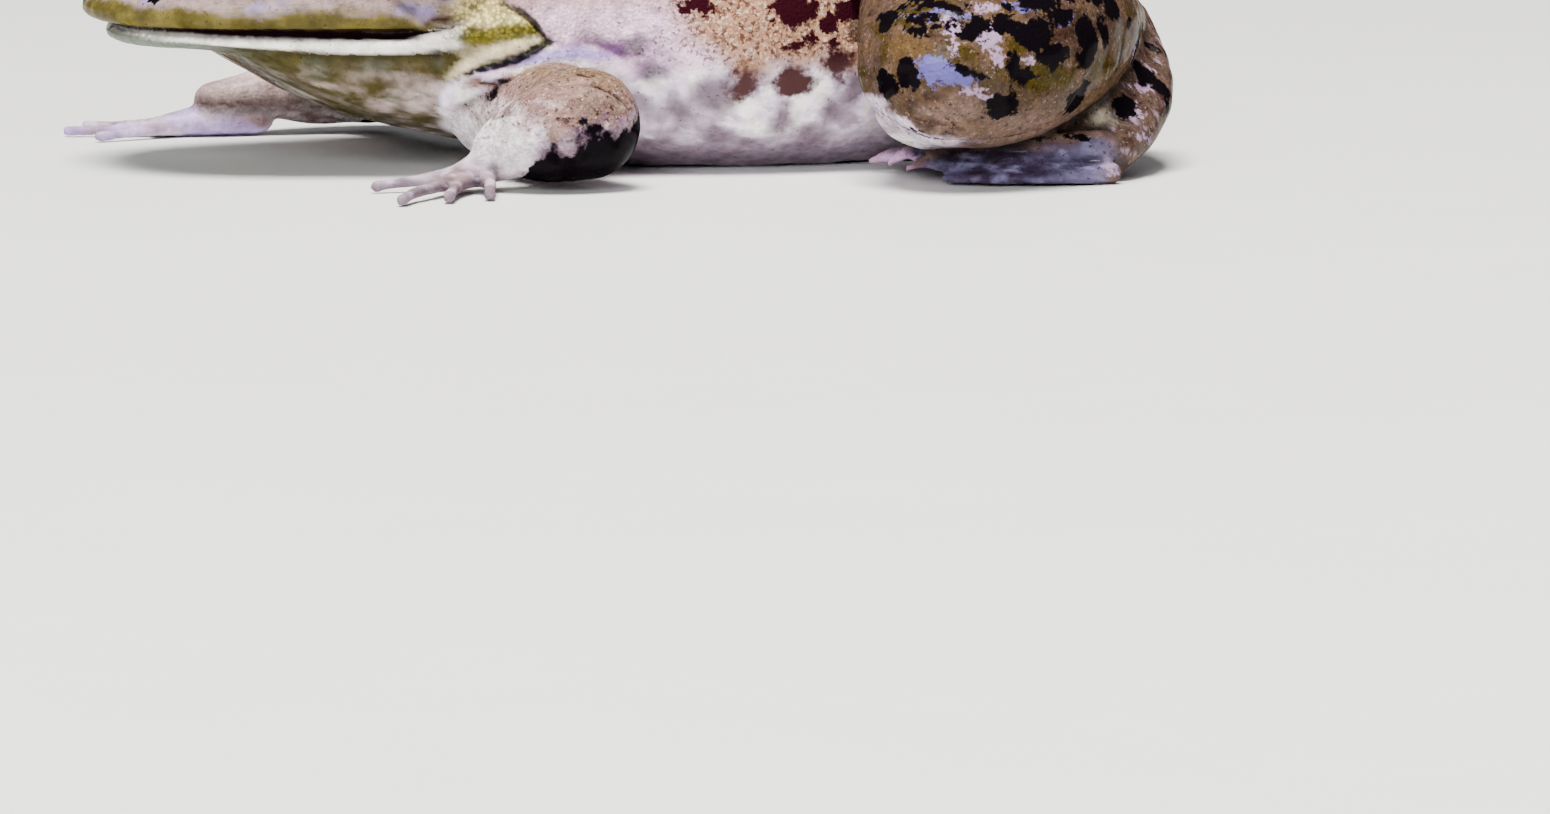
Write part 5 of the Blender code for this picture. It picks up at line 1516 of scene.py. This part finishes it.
class FROG_OT_make_skin(bpy.types.Operator):
    """Builds the skin that covers the head, trunk, limbs and ear drums"""
    bl_idname = "frog.make_skin"
    bl_label = "Skin"

    def execute(self, context):
        settings = context.scene.frog_skin
        shift = body_shift()
        shapes = body_shapes()
        samples = sampled_body(shapes, settings.head_spacing / MM, settings.body_spacing / MM)
        skin = skin_surface(samples)
        zones = zones_of(skin.points, shapes)
        values = skin_values(skin.points, zones, settings)
        shape_ears(skin, skin.normals())
        skin.points += relief(skin.points, zones, settings)[:, None] * skin.normals()
        low, high = (np.array(corner) / MM - shift / MM for corner in CAD_BOX)
        skin.points = np.clip(skin.points, low + (BOX_MARGIN, BOX_MARGIN, 0), high - BOX_MARGIN)
        # how dark each hollow is painted: painted shade
        values["crease"] = np.clip(hollows(skin) * CREASE_SHADE, 0, 1)

        material = skin_material(settings, -shift / MM)
        piece = new_piece("frog_skin", skin.points * MM + shift, skin.quads, material)
        for name, value in values.items():
            store(piece.data, name, value)
        flesh = [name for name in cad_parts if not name.startswith("eye_")]
        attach(piece, "root")
        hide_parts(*flesh)
        return {"FINISHED"}


def ball(radius, segments, rings):
    """Points of a ball, ring by ring from its top: sin a cos b, sin a sin b, cos a, then its two poles."""
    around = np.linspace(0, 2 * math.pi, segments, endpoint=False)
    down = np.linspace(0, math.pi, rings + 1)[1:-1, None]
    grid = np.stack((np.sin(down) * np.cos(around), np.sin(down) * np.sin(around),
                     np.cos(down) * np.ones(segments)), axis=-1)
    return np.concatenate((grid.reshape(-1, 3), ((0, 0, 1), (0, 0, -1)))) * radius


def ball_faces(segments, rings):
    """Faces of such a ball: quads between rings, and fans of triangles at the poles."""
    i = np.arange(segments)
    after = (i + 1) % segments
    row = np.arange(rings - 2)[:, None] * segments
    below = row + segments
    sides = np.stack((row + i, below + i, below + after, row + after), axis=-1).reshape(-1, 4)
    last, top = (rings - 2) * segments, (rings - 1) * segments
    upper = np.stack((np.full(segments, top), i, after), axis=-1)
    lower = np.stack((np.full(segments, top + 1), last + after, last + i), axis=-1)
    return sides.tolist() + upper.tolist() + lower.tolist()


def from_middle(tree, place, across, up):
    """Length of a place on the face of the eye: the square root of across^2 + up^2."""
    both = add_node(tree, "ShaderNodeCombineXYZ", place, {"X": across, "Y": up})
    return vector_math(tree, (place[0] + 1, place[1]), "LENGTH", {0: both.outputs[0]}, "Value")


def eye_material(settings):
    """Gold iris with dark veins round a level oval pupil, under the wet front of the eye."""
    material, tree, shader = new_material("Frog eye")
    across, up, front = (attribute(tree, (0, row), name)
                         for row, name in enumerate(("across", "up", "front")))
    wide = arithmetic(tree, (1, 1), "DIVIDE", across, settings.pupil_width / MM)
    high = arithmetic(tree, (1, 2), "DIVIDE", up, settings.pupil_height / MM)
    off_pupil, off_middle = from_middle(tree, (2, 1), wide, high), from_middle(tree, (2, 2), across, up)
    place = add_node(tree, "ShaderNodeCombineXYZ", (1, 0), {"X": across, "Y": up, "Z": front})
    veins = noise(tree, (4, 0), place.outputs[0], 1.5, 6.0, 0.7, 2.0)
    flame = eased(tree, (5, 0), veins, 0.40, 0.62)
    iris = blended(tree, (6, 0), flame, (*settings.bronze, 1.0), (*settings.gold, 1.0))
    edge = settings.iris_radius / MM
    # Bright ring, dark edge of the iris, pupil and back of the ball: where each begins and is full.
    layers = ((off_pupil, 1.32, 1.12, 0.8, (0.75, 0.5, 0.12)),
              (off_middle, edge - 0.9, edge, 1.0, (0.025, 0.016, 0.008)),
              (off_pupil, 1.04, 0.98, 1.0, (0.002, 0.002, 0.002)),
              (front, 0.5, 0.0, 1.0, (0.02, 0.014, 0.01)))
    for column, (value, start, full, strength, colour) in enumerate(layers, 7):
        mask = eased(tree, (column - 1, 3), value, start, full, 0.0, strength)
        iris = blended(tree, (column, 0), mask, iris, (*colour, 1.0))
    feed(tree, shader, {"Base Color": iris, "Roughness": 0.25, "Coat Weight": 1.0, "Coat Roughness": 0.02,
                        "Coat IOR": 1.4, "Metallic": 0.0})
    return material


class FROG_OT_make_eyes(bpy.types.Operator):
    """Builds the two eyeballs, set in the skin's sockets"""
    bl_idname = "frog.make_eyes"
    bl_label = "Eyes"

    def execute(self, context):
        settings = context.scene.frog_eyes
        shift = body_shift()
        material = eye_material(settings)
        local = ball(settings.radius / MM, EYE_SEGMENTS, EYE_RINGS)[:, (2, 0, 1)]
        for label, side in SIDES.items():
            axes = facing(mirrored(EYE_LOOK, side))
            points = local @ axes
            faces = ball_faces(EYE_SEGMENTS, EYE_RINGS)
            if np.linalg.det(axes) < 0:
                faces = [face[::-1] for face in faces]
            centre = mirrored(EYE_CENTRE, side)
            piece = new_piece("frog_eye_" + label, (points + centre) * MM + shift, faces, material)
            for name, values in zip(("front", "across", "up"), local.T):
                store(piece.data, name, values)
            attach(piece, "root")
            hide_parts("eye_" + label)
        return {"FINISHED"}


FLOOR_HALF_WIDTH = 8.0        # metres
STAGE_MIDDLE = (75.0, 0.0, 25.0)

# Lights: name, place in metres, power in watts, and colour.
LIGHTS = (
    ("overhead", (-0.3, -0.6, 2.0), 150.0, (1.0, 0.98, 0.95)),
    ("front fill", (-1.0, -2.0, 0.8), 55.0, (0.94, 0.96, 1.0)),
    ("rear", (1.2, 1.6, 1.4), 7.0, (0.95, 0.97, 1.0)))
SKY_COLOUR, SKY_STRENGTH = (0.90, 0.93, 1.0, 1.0), 0.12

CAMERA_TURN, CAMERA_RISE = math.radians(16), math.radians(7)
LENS = 211.36                 # focal length for a sensor 36 mm wide
CLIP_START = 0.05             # metres
SNOUT_TIP = (0.0, 0.0, 23.1)
SNOUT_OFFSET = (-98.7, 56.9)  # the snout tip's place across and above the middle of the view


def floor_material(settings):
    """Pale matt floor with a faint unevenness."""
    material, tree, shader = new_material("Pale floor")
    places = add_node(tree, "ShaderNodeTexCoord", (0, 0), {})
    uneven = noise(tree, (1, 0), places.outputs["Object"], 40.0, 4.0)
    pale = np.array(settings.floor_colour)
    colour = blended(tree, (2, 0), uneven, (*(pale * 0.97), 1.0), (*(pale * 1.03), 1.0))
    feed(tree, shader, {"Base Color": colour, "Roughness": 0.7})
    return material


def add_light(name, place, power, colour, width, target):
    """A square area light that faces the target."""
    light = bpy.data.lights.new(name, "AREA")
    light.shape = "SQUARE"
    light.size = width
    light.energy = power
    light.color = colour
    holder = bpy.data.objects.new(name, light)
    holder.location = place
    holder.rotation_euler = (Vector(target) - Vector(place)).to_track_quat("-Z", "Y").to_euler()
    bpy.context.scene.collection.objects.link(holder)


def add_camera(scene, snout, distance):
    """A camera that looks at the frog's left side, from a little in front and above."""
    turn, rise = CAMERA_TURN, CAMERA_RISE
    ahead = np.array((math.sin(turn) * math.cos(rise), math.cos(turn) * math.cos(rise), -math.sin(rise)))
    across = np.array((math.cos(turn), -math.sin(turn), 0.0))
    upward = np.cross(across, ahead)
    sideways, raised = (offset * MM for offset in SNOUT_OFFSET)
    lens = bpy.data.cameras.new("camera")
    lens.lens = LENS
    lens.clip_start = CLIP_START
    camera = bpy.data.objects.new("camera", lens)
    camera.location = snout - ahead * distance - across * sideways - upward * raised
    camera.rotation_euler = Vector(ahead).to_track_quat("-Z", "Y").to_euler()
    scene.collection.objects.link(camera)
    scene.camera = camera


class FROG_OT_set_stage(bpy.types.Operator):
    """Lays the floor, hangs the lights and places the camera"""
    bl_idname = "frog.set_stage"
    bl_label = "Stage"

    def execute(self, context):
        settings = context.scene.frog_stage
        shift = body_shift()
        square = np.array(((-1, -1, 0), (1, -1, 0), (1, 1, 0), (-1, 1, 0)))
        floor = new_piece("floor", square * FLOOR_HALF_WIDTH, [(0, 1, 2, 3)], floor_material(settings))
        middle = tuple(np.array(STAGE_MIDDLE) * MM + shift)
        for light in LIGHTS:
            add_light(*light, settings.light_size, middle)
        world = bpy.data.worlds.new("Soft studio")
        world.use_nodes = True
        background = world.node_tree.nodes["Background"]
        feed(world.node_tree, background, {"Color": SKY_COLOUR, "Strength": SKY_STRENGTH})
        context.scene.world = world
        add_camera(context.scene, np.array(SNOUT_TIP) * MM + shift, settings.camera_distance)
        return {"FINISHED"}


class FROG_PT_bullfrog(bpy.types.Panel):
    """Lists the frog's settings and the steps that build it"""
    bl_label = "Bullfrog"
    bl_idname = "FROG_PT_bullfrog"
    bl_space_type = "VIEW_3D"
    bl_region_type = "UI"
    bl_category = "Bullfrog"

    def draw(self, context):
        for title, group, operator in (("Skin", "frog_skin", "frog.make_skin"),
                                       ("Eyes", "frog_eyes", "frog.make_eyes"),
                                       ("Stage", "frog_stage", "frog.set_stage")):
            box = self.layout.box()
            box.label(text=title)
            settings = getattr(context.scene, group)
            for name in type(settings).__annotations__:
                box.prop(settings, name)
            box.operator(operator)


CLASSES = (FrogSkinSettings, FrogEyeSettings, FrogStageSettings, FROG_OT_make_skin, FROG_OT_make_eyes,
           FROG_OT_set_stage, FROG_PT_bullfrog)


def register():
    """Registers the classes and hangs the settings on the scene."""
    for made in CLASSES:
        bpy.utils.register_class(made)
    bpy.types.Scene.frog_skin = bpy.props.PointerProperty(type=FrogSkinSettings)
    bpy.types.Scene.frog_eyes = bpy.props.PointerProperty(type=FrogEyeSettings)
    bpy.types.Scene.frog_stage = bpy.props.PointerProperty(type=FrogStageSettings)


def unregister():
    """Takes the settings and the classes away again."""
    del bpy.types.Scene.frog_stage
    del bpy.types.Scene.frog_eyes
    del bpy.types.Scene.frog_skin
    for made in reversed(CLASSES):
        bpy.utils.unregister_class(made)


def main():
    """Builds the skin, the eyes and the stage."""
    register()
    bpy.ops.frog.make_skin()
    bpy.ops.frog.make_eyes()
    bpy.ops.frog.set_stage()


if __name__ == "__main__":
    main()
